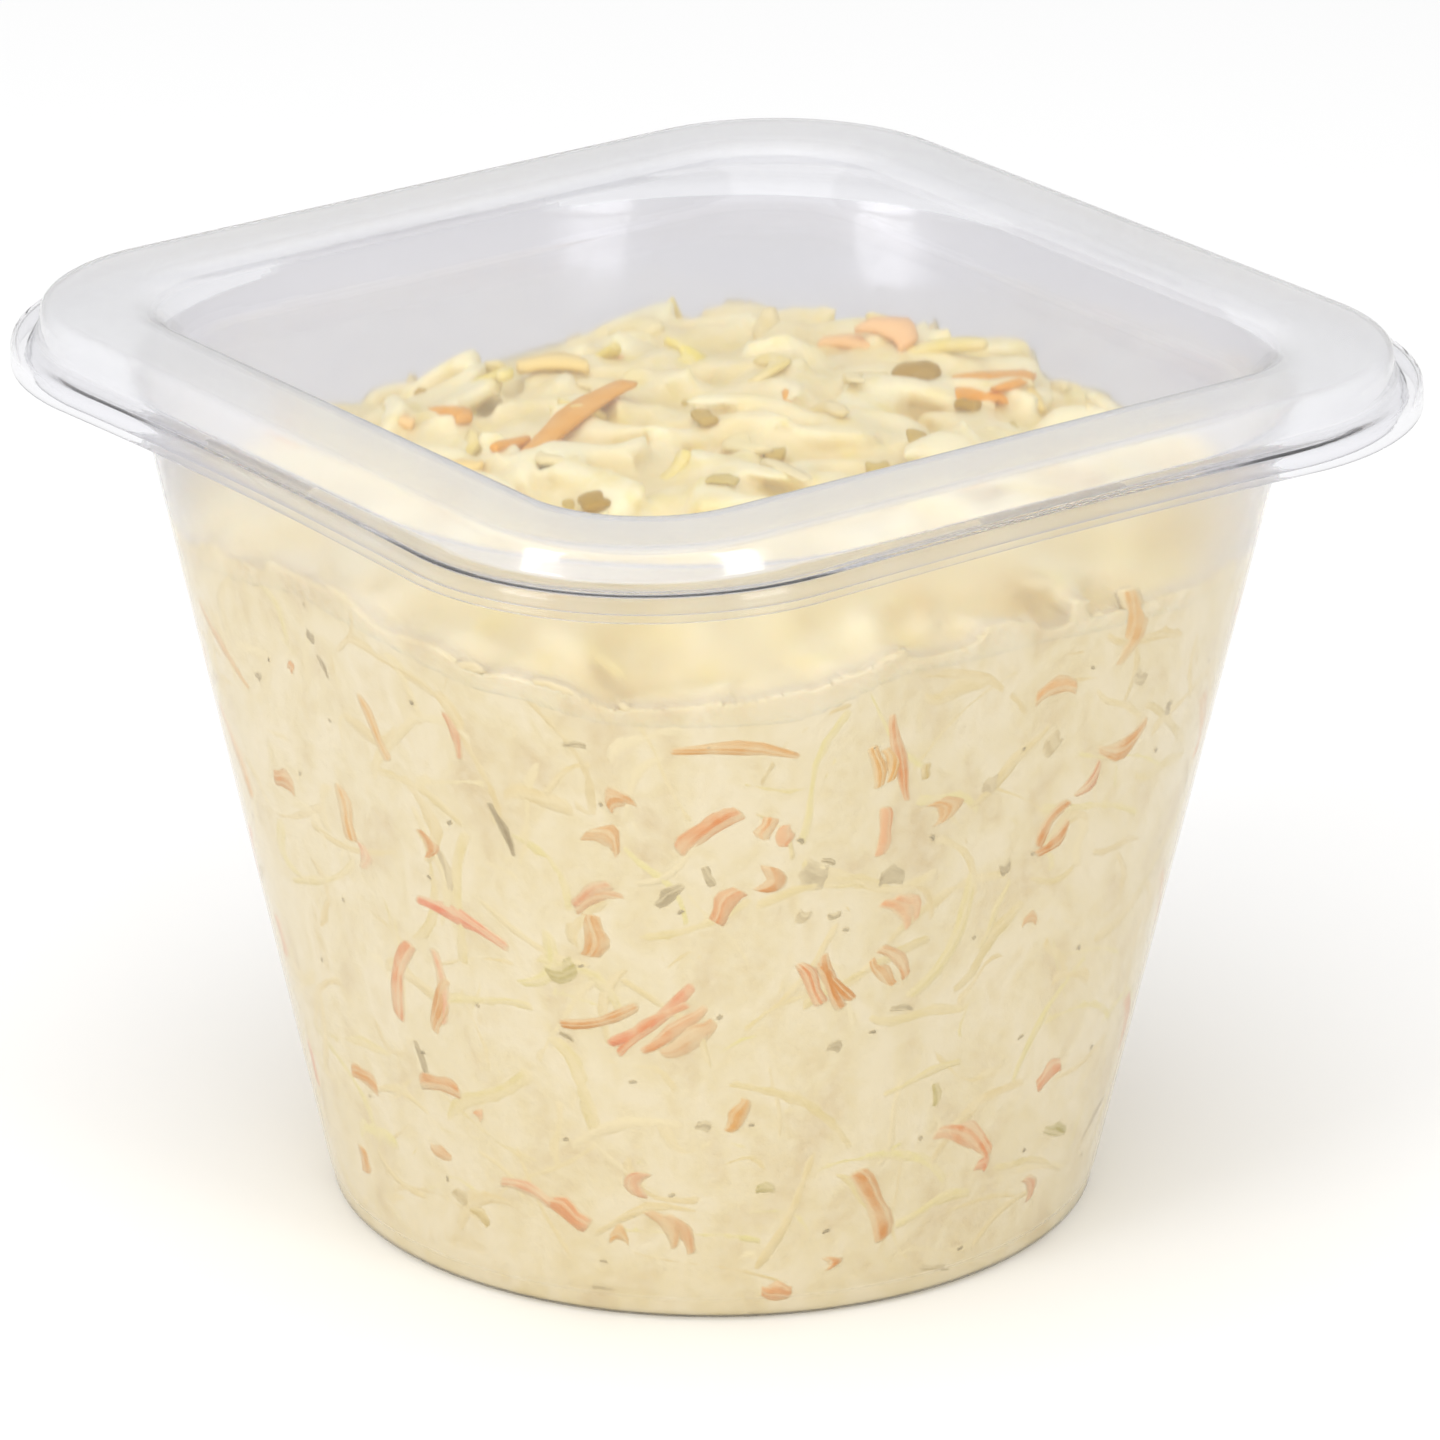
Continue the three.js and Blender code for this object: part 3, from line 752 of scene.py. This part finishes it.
# Even places round the wall from the foot up to the food's edge.
def wallPlaces(ranges):
    rng = np.random.default_rng(ranges["seed"])
    placed = []
    golden = (math.sqrt(5) - 1) / 2
    widening = 1.7  # the wall has this many times more room at its top than at its foot
    lowest = 3.6  # no shred reaches below this level
    for i in range(ranges["count"]):
        share = (i + 0.5) / ranges["count"]
        direction = 2 * math.pi * ((i * golden) % 1) + rng.uniform(-0.08, 0.08)
        toFront = abs((direction - frontDirection + math.pi) % (2 * math.pi) - math.pi)
        if toFront < ranges.get("notInFront", 0):
            continue
        top = float(edgeLevel(np.array([direction]))[0]) - ranges["below"]
        bottom = ranges["above"]
        rise = (math.sqrt(widening * share + (1 - share)) - 1) / (math.sqrt(widening) - 1)
        z = bottom + (top - bottom) * rise
        size = drawSize(rng, ranges)
        room = min(1.0, (z - lowest) * mm / (size.x / 2))
        most = min(steepest, math.asin(max(0.0, room)))
        lean = rng.uniform(-most, most)
        half, corner = wallAt(z)
        far = float(reach(half, corner, np.array([direction]))[0])
        point = Vector((far * math.cos(direction), far * math.sin(direction), z)) * mm
        placed.append(Shred(*layAt(point, lean), size, rng.uniform()))
    return placed


# Shreds that show through the bottom of the cup.
def floorPlaces(ranges):
    rng = np.random.default_rng(ranges["seed"] + 5)
    placed = []
    for i in range(ranges["onFloor"]):
        direction = i * goldenAngle
        far = 30 * math.sqrt((i + 0.5) / ranges["onFloor"])
        point = Vector((far * math.cos(direction), far * math.sin(direction), 1.5)) * mm
        lean = rng.uniform(-steepest, steepest)
        placed.append(Shred(*layAt(point, lean), drawSize(rng, ranges), rng.uniform()))
    return placed


# Places over the heap, each piece lying along the slope and partly sunk.
# Before there is a mound to lie on, the heap's level gives its surface.
def heapPlaces(ranges, surface=None):
    rng = np.random.default_rng(ranges["seed"])
    placed = []
    half, corner = wallAt(heap["edgeMean"])
    step = 2  # the slope is taken over this distance to either side
    overHeap = 95
    for i in range(ranges["count"]):
        direction = ranges["start"] + i * goldenAngle + rng.uniform(-0.1, 0.1)
        share = ranges["spread"] * math.sqrt((i + 0.5) / ranges["count"])
        far = share * float(reach(half, corner, np.array([direction]))[0])
        x, y = far * math.cos(direction), far * math.sin(direction)
        if surface:
            hit, normal, _, _ = surface.ray_cast(Vector((x, y, overHeap)) * mm, Vector((0, 0, -1)))
            level = hit.z / mm
        else:
            around = np.array([[0, 0], [step, 0], [-step, 0], [0, step], [0, -step]])
            levels = heapLevel(x + around[:, 0], y + around[:, 1])
            normal = Vector((levels[2] - levels[1], levels[4] - levels[3], 2 * step)).normalized()
            level = levels[0]
        size = drawSize(rng, ranges)
        tilt = Matrix.Rotation(rng.uniform(-ranges["tilt"], ranges["tilt"]), 3, "X")
        tilt = tilt @ Matrix.Rotation(rng.uniform(-ranges["tilt"], ranges["tilt"]), 3, "Y")
        lie = Vector((0, 0, 1)).rotation_difference(normal).to_matrix()
        turned = lie @ Matrix.Rotation(rng.uniform(0, 2 * math.pi), 3, "Z") @ tilt
        place = Vector((x, y, level + rng.uniform(*ranges["lift"]))) * mm
        placed.append(Shred(place, turned.to_euler(), size, rng.uniform()))
    return placed


# Materials: each is named for what it is and how its surface was made. Its tree's adder comes with it.
def newMaterial(name):
    material = bpy.data.materials.new(name)
    material.use_nodes = True
    material.node_tree.nodes.clear()
    return material, partial(addNode, material.node_tree)


# Noise with features of that size in millimetres, 0 to 1.
def noiseOf(add, spacing, detail=2.0, distortion=0.0, stretch=(1, 1, 1)):
    place = add("ShaderNodeTexCoord").outputs["Object"]
    scaled = add("ShaderNodeMapping", {"Vector": place, "Scale": stretch})
    values = {"Vector": scaled, "Scale": 1 / (spacing * mm), "Detail": detail, "Distortion": distortion}
    return add("ShaderNodeTexNoise", values)


# The colour turned towards a tint, as far as a ramp of the factor says.
def tinted(add, colour, tint, factor, *stops):
    amount = add("ShaderNodeValToRGB", [factor], stops)
    return add("ShaderNodeMix", {0: amount, 6: colour, 7: linear(tint)}, data_type="RGBA").outputs[2]


# Clear PET sheet, vacuum formed: glossy, faintly grey-lavender where sheets lie behind each other,
# with the soft unevenness that forming leaves. Lamps pass straight through it.
def formedSheet(name, colour, roughness, clear, gloss, coat=1.0):
    material, add = newMaterial(name)
    values = {"Strength": 0.25, "Distance": 0.0006, "Height": noiseOf(add, 9.0)}
    bump = add("ShaderNodeBump", values)
    plastic = add(
        "ShaderNodeBsdfPrincipled",
        {
            "Base Color": linear(colour),
            "Roughness": roughness,
            "IOR": 1.15,
            "Transmission Weight": clear,
            "Coat Weight": coat,
            "Coat IOR": 1.5,
            "Coat Roughness": gloss,
            "Coat Normal": bump,
        },
    )
    path = add("ShaderNodeLightPath").outputs
    through = add("ShaderNodeMath", [path["Is Shadow Ray"], path["Is Diffuse Ray"]], operation="MAXIMUM")
    passed = add("ShaderNodeBsdfTransparent", {"Color": linear("#FDFDFE")})
    mixed = add("ShaderNodeMixShader", [through, plastic, passed])
    add("ShaderNodeOutputMaterial", {"Surface": mixed})
    return material


# Wet food: a moist gloss, and soft light through its surface where it is thick.
# Pressed against plastic it has no gloss, because no air lies between.
def foodShader(add, colour, relief, roughness, bumpDepth, gloss, soft=0.0):
    values = {"Strength": 0.6, "Distance": bumpDepth * mm, "Height": relief}
    bump = add("ShaderNodeBump", values)
    food = add(
        "ShaderNodeBsdfPrincipled",
        {
            "Base Color": colour,
            "Roughness": roughness,
            "IOR": 1.42,
            "Specular IOR Level": gloss,
            "Subsurface Weight": soft,
            "Subsurface Radius": (1.0, 0.72, 0.42),
            "Subsurface Scale": 0.0016,
            "Normal": bump,
        },
    )
    add("ShaderNodeOutputMaterial", {"Surface": food})


# The tone of stirred mayonnaise dressing: warm cream with paler and tanner streaks.
def stirredColour(add):
    streaks = noiseOf(add, 7.0, 3.0, 0.6, (1, 1, 0.7))
    tones = [(0.3, "#CEBA8E"), (0.48, "#D8C89C"), (0.62, "#DDCFAB"), (0.75, "#D4C294")]
    colour = add("ShaderNodeValToRGB", [streaks], tones)
    return tinted(add, colour, "#DFD3B2", noiseOf(add, 1.6), (0.35, 0.0), (0.7, 0.45))


# Dressing pressed against the plastic: matt and creamy, with faint streaks.
def stirredDressing():
    material, add = newMaterial("stirredDressing")
    foodShader(add, stirredColour(add), noiseOf(add, 0.9, 3.0), roughness=0.5, bumpDepth=0.2, gloss=0.0)
    return material


# Shredded cabbage fused by its dressing: tan painted shade in hollows, pale painted light on lumps, yellow
# where leaf shows.
def dressedHeap():
    material, add = newMaterial("dressedHeap")
    raised = add("ShaderNodeAttribute", attribute_name="raised").outputs["Fac"]
    # Painted shade and light: the ramp runs from tan in the hollows to pale on the lumps, by height above the
    # heap's level.
    shadeByHeight = add("ShaderNodeMapRange", [raised, -1.4, 2.0])
    tones = [(0.0, "#CFB070"), (0.35, "#E3CF92"), (0.7, "#EDDDAA"), (1.0, "#F3E8BC")]
    colour = add("ShaderNodeValToRGB", [shadeByHeight], tones)
    colour = tinted(add, colour, "#EAD57E", noiseOf(add, 5.0, 2.0, 0.8), (0.5, 0.0), (0.68, 0.6))
    colour = tinted(add, colour, "#EDDEB4", noiseOf(add, 2.2, 2.0, 0.5), (0.4, 0.0), (0.7, 0.5))
    atWall = add("ShaderNodeAttribute", attribute_name="atWall").outputs["Fac"]
    blend = {0: atWall, 6: colour, 7: stirredColour(add)}
    colour = add("ShaderNodeMix", blend, data_type="RGBA").outputs[2]
    foodShader(add, colour, noiseOf(add, 0.8), roughness=0.36, bumpDepth=0.2, gloss=0.5, soft=0.3)
    return material


# Cut vegetables under a film of dressing: each shred has its own tone, and the film veils parts of it.
# Pressed at the plastic a shred shows its strands, and it turns pale at its rim and where its lift
# falls through the range edgeFilm, because the dressing creeps in there.
def dressedCut(name, tones, veil, veilAmount, edgeFilm=None, veilSize=2.6):
    material, add = newMaterial(name)
    tone = add("ShaderNodeAttribute", attribute_name="tone").outputs["Fac"]
    colour = add("ShaderNodeValToRGB", [tone], tones)
    film = noiseOf(add, veilSize, 2.0, 0.4)
    colour = tinted(add, colour, veil, film, (0.36, veilAmount[0]), (0.66, veilAmount[1]))
    if edgeFilm:
        pressed = (add("ShaderNodeAttribute", attribute_name=key) for key in ("aside", "rim", "lift"))
        aside, rim, lift = (node.outputs["Fac"] for node in pressed)
        apart = add("ShaderNodeMath", [tone, 50.0], operation="MULTIPLY")
        across = add("ShaderNodeMath", [aside, 1.6, apart], operation="MULTIPLY_ADD")
        values = {"W": across, "Scale": 1.0, "Detail": 1.0}
        strandNoise = add("ShaderNodeTexNoise", values, noise_dimensions="1D")
        colour = tinted(add, colour, veil, strandNoise, (0.45, 0.0), (0.62, 0.5))
        colour = tinted(add, colour, veil, rim, (0.62, 0.0), (1.0, 0.7))
        colour = tinted(add, colour, veil, lift, (edgeFilm[0], 0.9), (edgeFilm[1], 0.0))
    gloss = 0.0 if edgeFilm else 0.2
    foodShader(add, colour, noiseOf(add, 0.7), roughness=0.4, bumpDepth=0.15, gloss=gloss)
    return material


petCup = formedSheet("formedPetCup", "#E6E5E8", 0.55, 0.98, 0.08)
petLid = formedSheet("formedPetLid", "#F6F6F8", 0.07, 0.99, 0.1, coat=0.2)
petRecess = formedSheet("formedPetRecess", "#F3F3F5", 0.07, 0.97, 0.1)
petRim = formedSheet("formedPetRim", "#EEEEF0", 0.25, 0.77, 0.1)  # drawn thin over the rim, it turns hazy
dressingMix = stirredDressing()

# Loose and moist on the heap: the tones by which shreds differ, and a warm veil of dressing.
heapVeil = "#EDDDAE"
cabbageCut = dressedCut(
    "cabbageCut",
    [(0.0, "#EBDCAA"), (0.25, "#E6D398"), (0.5, "#E0C98A")]
    + [(0.7, "#F0DC70"), (0.85, "#EBD684"), (1.0, "#EDDFB0")],
    heapVeil,
    (0.0, 0.6),
)
carrotCut = dressedCut(
    "carrotCut",
    [(0.0, "#E4A546"), (0.3, "#E89A08"), (0.5, "#F4DA88"), (0.7, "#F3BF84"), (1.0, "#EAC46C")],
    heapVeil,
    (0.0, 0.12),
    veilSize=3.2,
)
# These tones also colour the dark bits that stand for shade in the heap's crevices: painted shadow.
greenAndShadeBitCut = dressedCut(
    "greenAndShadeBitCut",
    [(0.0, "#A27A00"), (0.5, "#BC9838"), (1.0, "#D2BC6C")],
    heapVeil,
    (0.0, 0.1),
)

# Pressed flat against the plastic, without gloss, with the dressing's film creeping over their rims.
# Their tones are mostly darker than the heap's: painted shade that offsets the stronger light at the wall.
wallVeil = "#DACA9F"
cabbagePressed = dressedCut(
    "cabbagePressed",
    [(0.0, "#DECFA4"), (0.25, "#D7C48F"), (0.5, "#D3BE8A")]
    + [(0.7, "#D9CC8C"), (0.85, "#CFBA86"), (1.0, "#E1D4AC")],
    "#DCCCA2",
    (0.0, 0.6),
    edgeFilm=(0.2, 0.44),
)
carrotPressed = dressedCut(
    "carrotPressed",
    [(0.0, "#D8825A"), (0.15, "#D28648"), (0.35, "#C78436"), (0.5, "#D39E4E")]
    + [(0.7, "#DA9C70"), (0.85, "#CA9264"), (1.0, "#D0A469")],
    wallVeil,
    (0.0, 0.5),
    edgeFilm=(0.3, 0.49),
    veilSize=3.2,
)
greenPressed = dressedCut(
    "greenPressed",
    [(0.0, "#A39548"), (0.5, "#AF9F56"), (1.0, "#C0A256")],
    wallVeil,
    (0.0, 0.45),
    edgeFilm=(0.28, 0.48),
)
ribPressed = dressedCut(
    "ribPressed",
    [(0.0, "#8E7B54"), (0.25, "#A08E66"), (0.5, "#AC9B74"), (0.75, "#C2AF85"), (1.0, "#AA9050")],
    wallVeil,
    (0.0, 0.45),
    edgeFilm=(0.28, 0.48),
)
# the specks are too small to turn pale where they dip, so their range lies out of reach
pepperBit = dressedCut(
    "pepperBit",
    [(0.0, "#83744F"), (1.0, "#A59673")],
    "#D9C9A0",
    (0.0, 0.3),
    edgeFilm=(-2, -1),
)

# What lies at the wall: the shreds' numbers and sizes, how far above the foot and below the food's edge
# they keep, their depth from the plastic's inner face, negative into it, and what layers and dips add to it.
# Strokes set the shreds that show best in the frame, and notInFront keeps the random ones out of the front,
# as an angle from the camera's bearing.
cabbageAtWall = dict(
    seed=11, pick=31, count=760, onFloor=60, length=(6, 17), width=(1.2, 3.0), thickness=(0.8, 1.2),
    above=4.6, below=2.5, depth=-0.43, layers=0.12, dip=0.12,
)
carrotAtWall = dict(
    seed=12, pick=32, strokeSeed=60, count=170, onFloor=14, notInFront=1.25, length=(3, 13), width=(1.4, 3.0),
    thickness=(0.8, 1.2), strand=1.5, above=4.8, below=3.0, depth=-0.52, layers=0.06, dip=0.12,
)
frontCarrots = [
    (360, 690, 392, 760, 1.3, 0.55), (445, 710, 463, 757, 1.0, 0.75), (340, 780, 355, 840, 1.8, 0.5),
    (362, 840, 367, 867, 1.5, 0.7), (422, 827, 430, 857, 1.6, 0.35), (418, 897, 512, 945, 1.5, 0.05),
    (413, 940, 402, 1017, 1.6, 0.1), (437, 947, 445, 1023, 1.1, 0.7), (450, 977, 440, 1033, 1.5, 0.4),
    (610, 808, 634, 798, 1.9, 0.4), (583, 833, 620, 853, 2.1, 0.38), (573, 907, 620, 887, 2.6, 0.85),
    (594, 912, 591, 955, 2.1, 0.42), (680, 853, 744, 812, 2.0, 0.15), (763, 840, 772, 815, 1.6, 0.6),
    (787, 822, 786, 845, 1.6, 0.65), (713, 920, 741, 888, 1.6, 0.2), (760, 890, 770, 864, 1.7, 0.3),
    (560, 1022, 640, 1004, 0.9, 0.3), (600, 1057, 697, 988, 2.7, 0.1), (640, 1050, 706, 1002, 1.4, 0.2),
    (660, 1052, 713, 1016, 2.2, 0.95), (797, 960, 820, 1003, 1.4, 0.15), (820, 955, 847, 1010, 2.3, 0.3),
    (355, 1072, 382, 1092, 1.8, 0.4), (423, 1081, 464, 1094, 1.6, 0.35), (727, 1130, 743, 1095, 1.3, 0.5),
    (667, 749, 802, 753, 1.2, 0.45), (363, 1143, 368, 1170, 1.5, 0.4), (433, 1143, 455, 1154, 1.3, 0.9),
    (503, 1178, 553, 1202, 1.2, 0.75), (548, 1197, 590, 1225, 2.0, 0.1), (610, 1237, 630, 1240, 1.5, 0.4),
    (644, 1170, 640, 1195, 1.4, 0.8), (650, 1205, 692, 1255, 2.4, 0.95), (760, 1288, 792, 1285, 2.2, 0.2),
    (1127, 587, 1117, 665, 2.1, 0.5), (1033, 697, 1075, 686, 1.7, 0.55), (1145, 718, 1095, 750, 2.0, 0.42),
    (1098, 758, 1072, 795, 1.1, 0.9), (1068, 805, 1032, 852, 2.3, 0.3), (1197, 733, 1188, 758, 1.3, 0.4),
    (891, 710, 908, 800, 1.2, 0.25), (877, 745, 884, 788, 2.4, 0.5), (882, 805, 875, 855, 1.2, 0.6),
    (936, 798, 938, 822, 2.2, 0.42), (884, 896, 912, 922, 2.6, 0.6), (872, 945, 898, 978, 2.5, 0.35),
    (1020, 921, 1034, 919, 1.0, 0.3), (1033, 1084, 1058, 1062, 2.0, 0.1), (931, 1133, 988, 1151, 1.9, 0.15),
    (974, 1162, 984, 1165, 1.2, 0.05), (1023, 1175, 1025, 1198, 1.2, 0.85), (852, 1170, 878, 1240, 1.9, 0.3),
    (277, 773, 298, 788, 1.9, 0.4), (291, 664, 296, 671, 1.0, 0.3), (824, 1255, 827, 1268, 1.1, 0.3),
    (476, 1110, 484, 1118, 1.0, 0.6),
]
frontGreens = [
    (934, 1080, 933, 1105, 1.2, 0.5), (755, 1187, 774, 1187, 1.2, 0.1), (547, 971, 578, 963, 2.0, 0.4),
    (472, 1205, 492, 1224, 1.8, 0.9), (1040, 1127, 1064, 1127, 1.3, 0.2), (923, 762, 922, 778, 1.2, 0.9),
]
greenAtWall = dict(
    seed=13, pick=33, strokeSeed=6, count=22, onFloor=3, notInFront=1.2, length=(1.2, 4.0), width=(0.7, 1.5),
    thickness=(0.6, 0.9), above=5.0, below=4.0, depth=-0.5, layers=0.06, dip=0.1,
)
frontRibs = [
    (490, 798, 518, 857, 1.0, 0.0), (440, 847, 454, 890, 1.6, 0.7), (418, 1037, 430, 1075, 0.9, 0.2),
    (796, 873, 826, 875, 3.4, 0.6), (876, 880, 903, 876, 2.5, 0.05), (997, 868, 1008, 862, 1.5, 0.4),
    (655, 905, 682, 880, 1.4, 0.3), (702, 865, 712, 885, 1.0, 0.2), (310, 634, 318, 640, 1.2, 0.0),
    (320, 653, 332, 677, 0.7, 0.1), (259, 672, 264, 680, 1.1, 0.1), (917, 1260, 947, 1267, 1.0, 0.5),
    (827, 1043, 840, 1046, 1.6, 0.4), (887, 1007, 912, 1007, 0.8, 0.4), (563, 742, 588, 744, 0.8, 0.4),
    (986, 780, 992, 785, 2.2, 0.7), (560, 1030, 576, 1040, 0.7, 0.3), (1165, 700, 1163, 714, 1.1, 0.1),
    (1130, 675, 1142, 680, 1.6, 0.6), (697, 1122, 710, 1126, 1.6, 0.5), (820, 857, 834, 862, 0.9, 0.1),
    (798, 912, 806, 915, 1.4, 0.7), (826, 914, 840, 912, 0.8, 0.3), (1045, 740, 1052, 746, 2.2, 0.8),
    (457, 1187, 470, 1203, 1.8, 0.9), (593, 1285, 615, 1286, 0.8, 0.5),
]
ribAtWall = dict(
    seed=14, pick=34, strokeSeed=27, count=60, onFloor=8, notInFront=1.2, length=(2, 7), width=(1.0, 2.8),
    thickness=(0.7, 1.0), above=4.8, below=3.0, depth=-0.49, layers=0.06, dip=0.1,
)
pepperAtWall = dict(
    seed=15, pick=38, count=110, onFloor=10, length=(0.35, 0.8), width=(0.3, 0.55),
    thickness=(0.3, 0.5), above=4.0, below=1.5, depth=-0.52, layers=0.04, dip=0.05,
)

# What lies on the heap: the share of it they spread over from a first bearing, their tilt out of the
# slope, and how far their middles lie above it.
cabbageInSkin = dict(
    seed=20, pick=30, count=190, start=0.9, spread=0.96, length=(7, 16), width=(3.0, 6.5),
    thickness=(1.5, 2.4), tilt=0.26, lift=(-0.5, 0.8),
)
cabbageOnTop = dict(
    seed=21, pick=35, count=50, start=0.4, spread=0.94, length=(4, 11), width=(1.6, 3.4),
    thickness=(0.9, 1.3), tilt=0.25, lift=(-0.35, 0.1),
)
topCarrots = [
    (944, 372, 1008, 392, 4.6, 0.3), (956, 398, 1004, 408, 4.0, 0.3), (518, 456, 630, 402, 2.8, 0.05),
    (516, 388, 588, 370, 3.2, 0.5), (438, 474, 484, 470, 2.4, 0.5), (436, 408, 466, 430, 2.0, 0.1),
    (400, 424, 414, 430, 1.6, 0.6), (820, 344, 870, 348, 2.2, 0.7), (862, 340, 908, 350, 4.0, 0.68),
    (372, 452, 396, 462, 1.6, 0.5),
]
carrotOnTop = dict(
    seed=22, pick=36, strokeSeed=10, count=9, start=1.9, spread=0.95, length=(3, 9), width=(1.2, 2.0),
    thickness=(0.9, 1.3), tilt=0.2, lift=(-0.45, -0.15),
)
# The first three rows are real greens; the last five are dark olive-tan bits set in the heap's crevices to
# stand for their shade: painted shadow.
topGreensAndShadeBits = [
    (896, 374, 938, 380, 3.6, 0.05), (588, 500, 596, 518, 2.6, 0.2), (708, 484, 738, 490, 2.2, 0.9),
    (696, 420, 712, 432, 2.0, 0.6), (764, 456, 784, 464, 2.2, 0.7), (898, 444, 922, 448, 2.2, 0.6),
    (956, 408, 978, 413, 1.8, 0.3), (866, 472, 888, 477, 1.8, 0.8),
]
greenOnTop = dict(
    seed=23, pick=37, strokeSeed=8, count=6, start=2.6, spread=0.9, length=(1.5, 3), width=(1.0, 1.8),
    thickness=(0.8, 1.2), tilt=0.4, lift=(-0.3, 0.0),
)

setIn = scattered("cabbageInSkin", heapPlaces(cabbageInSkin), cabbageShapes, cabbageCut, False, cabbageInSkin)
mound = fused("mound", [moundSkin(), setIn])
moundTree = BVHTree.FromObject(mound, bpy.context.evaluated_depsgraph_get())
foodPieces = [dressing, mound]

# what shows through the plastic, pressed against it
for name, ranges, strokes, shapes, finish in (
    ("cabbageAtWall", cabbageAtWall, [], cabbageShapes, cabbagePressed),
    ("carrotAtWall", carrotAtWall, frontCarrots, carrotShapes, carrotPressed),
    ("greenAtWall", greenAtWall, frontGreens, bitShapes, greenPressed),
    ("ribAtWall", ribAtWall, frontRibs, bitShapes, ribPressed),
    ("pepperAtWall", pepperAtWall, [], bitShapes, pepperBit),
):
    strand, strokeSeed = ranges.get("strand", 9), ranges.get("strokeSeed", 0)
    shreds = strokePlaces(strokes, wallTree, strokeSeed, strand=strand, broader=1.3)
    shreds += wallPlaces(ranges) + floorPlaces(ranges)
    foodPieces.append(scattered(name, shreds, shapes, finish, True, ranges))

# what lies on the mound, partly sunk in its dressing
for name, ranges, strokes, shapes, finish in (
    ("cabbageOnTop", cabbageOnTop, [], cabbageShapes, cabbageCut),
    ("carrotOnTop", carrotOnTop, topCarrots, carrotShapes, carrotCut),
    ("greenOnTop", greenOnTop, topGreensAndShadeBits, bitShapes, greenAndShadeBitCut),
):
    shreds = strokePlaces(strokes, moundTree, ranges.get("strokeSeed", 0), lift=0.4, level=2.0)
    shreds += heapPlaces(ranges, moundTree)
    foodPieces.append(scattered(name, shreds, shapes, finish, False, ranges))

for shell, node, finishes in (
    (cupShell, "cup", [petCup, petLid]),
    (lidShell, "lid", [petLid, petRim, petRecess]),
):
    for finish in finishes:
        shell.data.materials.append(finish)
    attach(shell, "root")
    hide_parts(node)
dressing.data.materials.append(dressingMix)
mound.data.materials.clear()
mound.data.materials.append(dressedHeap())
for piece in foodPieces:
    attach(piece, "root")
    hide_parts("coleslaw")

# The flange takes the lid's plastic, and the lid turns hazy on its rim and down the recess's slope.
for face in cupShell.data.polygons:
    onFlange = face.center.z > (cup["flangeTop"] - cup["curl"] - 0.5) * mm
    face.material_index = 1 if onFlange and np.hypot(*face.center.xy) > cup["clearFrom"] * mm else 0
for face in lidShell.data.polygons:
    x, y, z = face.center / mm
    far, direction = math.hypot(x, y), np.array([math.atan2(y, x)])
    recessEdge = reach(lid["recessHalf"], lid["recessCorner"], direction)[0]
    rimEdge = reach(lid["rimFootHalf"], lid["rimFootCorner"], direction)[0]
    overRim = recessEdge - lid["rimInwards"] < far < rimEdge + lid["rimOutwards"]
    onRim = overRim and z > lid["flange"] - lid["rimDown"]
    onSlope = recessEdge - lid["recessBand"] < far < recessEdge
    face.material_index = 1 if onRim else 2 if onSlope else 0
bpy.data.objects.remove(cupInside)

# Studio: a pale floor, white surroundings, a large lamp above and one softbox on either side.
# A lamp has its bearing from the camera's and its height angle in degrees, its distance and size in metres
# and its strength in watts.
studio = dict(
    worldLight=0.63,
    floorColour="#F0F0F0",
    overheadLamp=dict(bearing=-20, elevation=75, distance=1.3, size=(1.8, 1.8), strength=15, mirrored=False),
    leftSoftbox=dict(bearing=-48, elevation=14, distance=1.2, size=(0.42, 0.7), strength=5, mirrored=True),
    rightSoftbox=dict(bearing=47, elevation=14, distance=1.2, size=(0.42, 0.7), strength=4, mirrored=True),
)
bpy.ops.mesh.primitive_plane_add(size=12, location=(0, 0, -0.0002))
floor = bpy.context.object
floor.name = "floor"
floorPaint, add = newMaterial("paleFloorPaint")
matt = add("ShaderNodeBsdfDiffuse", {"Color": linear(studio["floorColour"])})
add("ShaderNodeOutputMaterial", {"Surface": matt})
floor.data.materials.append(floorPaint)

world = bpy.data.worlds.new("whiteRoom")
world.use_nodes = True
world.node_tree.nodes["Background"].inputs["Color"].default_value = (1, 1, 1, 1)
world.node_tree.nodes["Background"].inputs["Strength"].default_value = studio["worldLight"]
scene.world = world


# A lamp that faces the cup; one that isn't mirrored lights it without a reflection.
def softbox(name, bearing, elevation, distance, size, strength, mirrored):
    turn = frontDirection + math.radians(bearing)
    rise = math.radians(elevation)
    away = Vector((math.cos(turn) * math.cos(rise), math.sin(turn) * math.cos(rise), math.sin(rise)))
    panel = bpy.data.lights.new(name, "AREA")
    panel.shape = "RECTANGLE"
    panel.size, panel.size_y = size
    panel.energy = strength
    holder = linked(name, panel)
    holder.location = focus + away * distance
    holder.rotation_euler = away.to_track_quat("Z", "Y").to_euler()
    holder.visible_camera = False
    holder.visible_glossy = mirrored


for name in ("overheadLamp", "leftSoftbox", "rightSoftbox"):
    softbox(name, **studio[name])
print("studio", len(bpy.data.lights), "lamps")

lens = bpy.data.cameras.new("camera")
lens.lens = view["lens"]
lens.sensor_width = view["sensor"]
lens.clip_start, lens.clip_end = 0.05, 30
camera = linked("camera", lens)
camera.location = cameraPlace
camera.rotation_euler = back.to_track_quat("Z", "Y").to_euler()
scene.camera = camera
scene.view_settings.view_transform = "Standard"
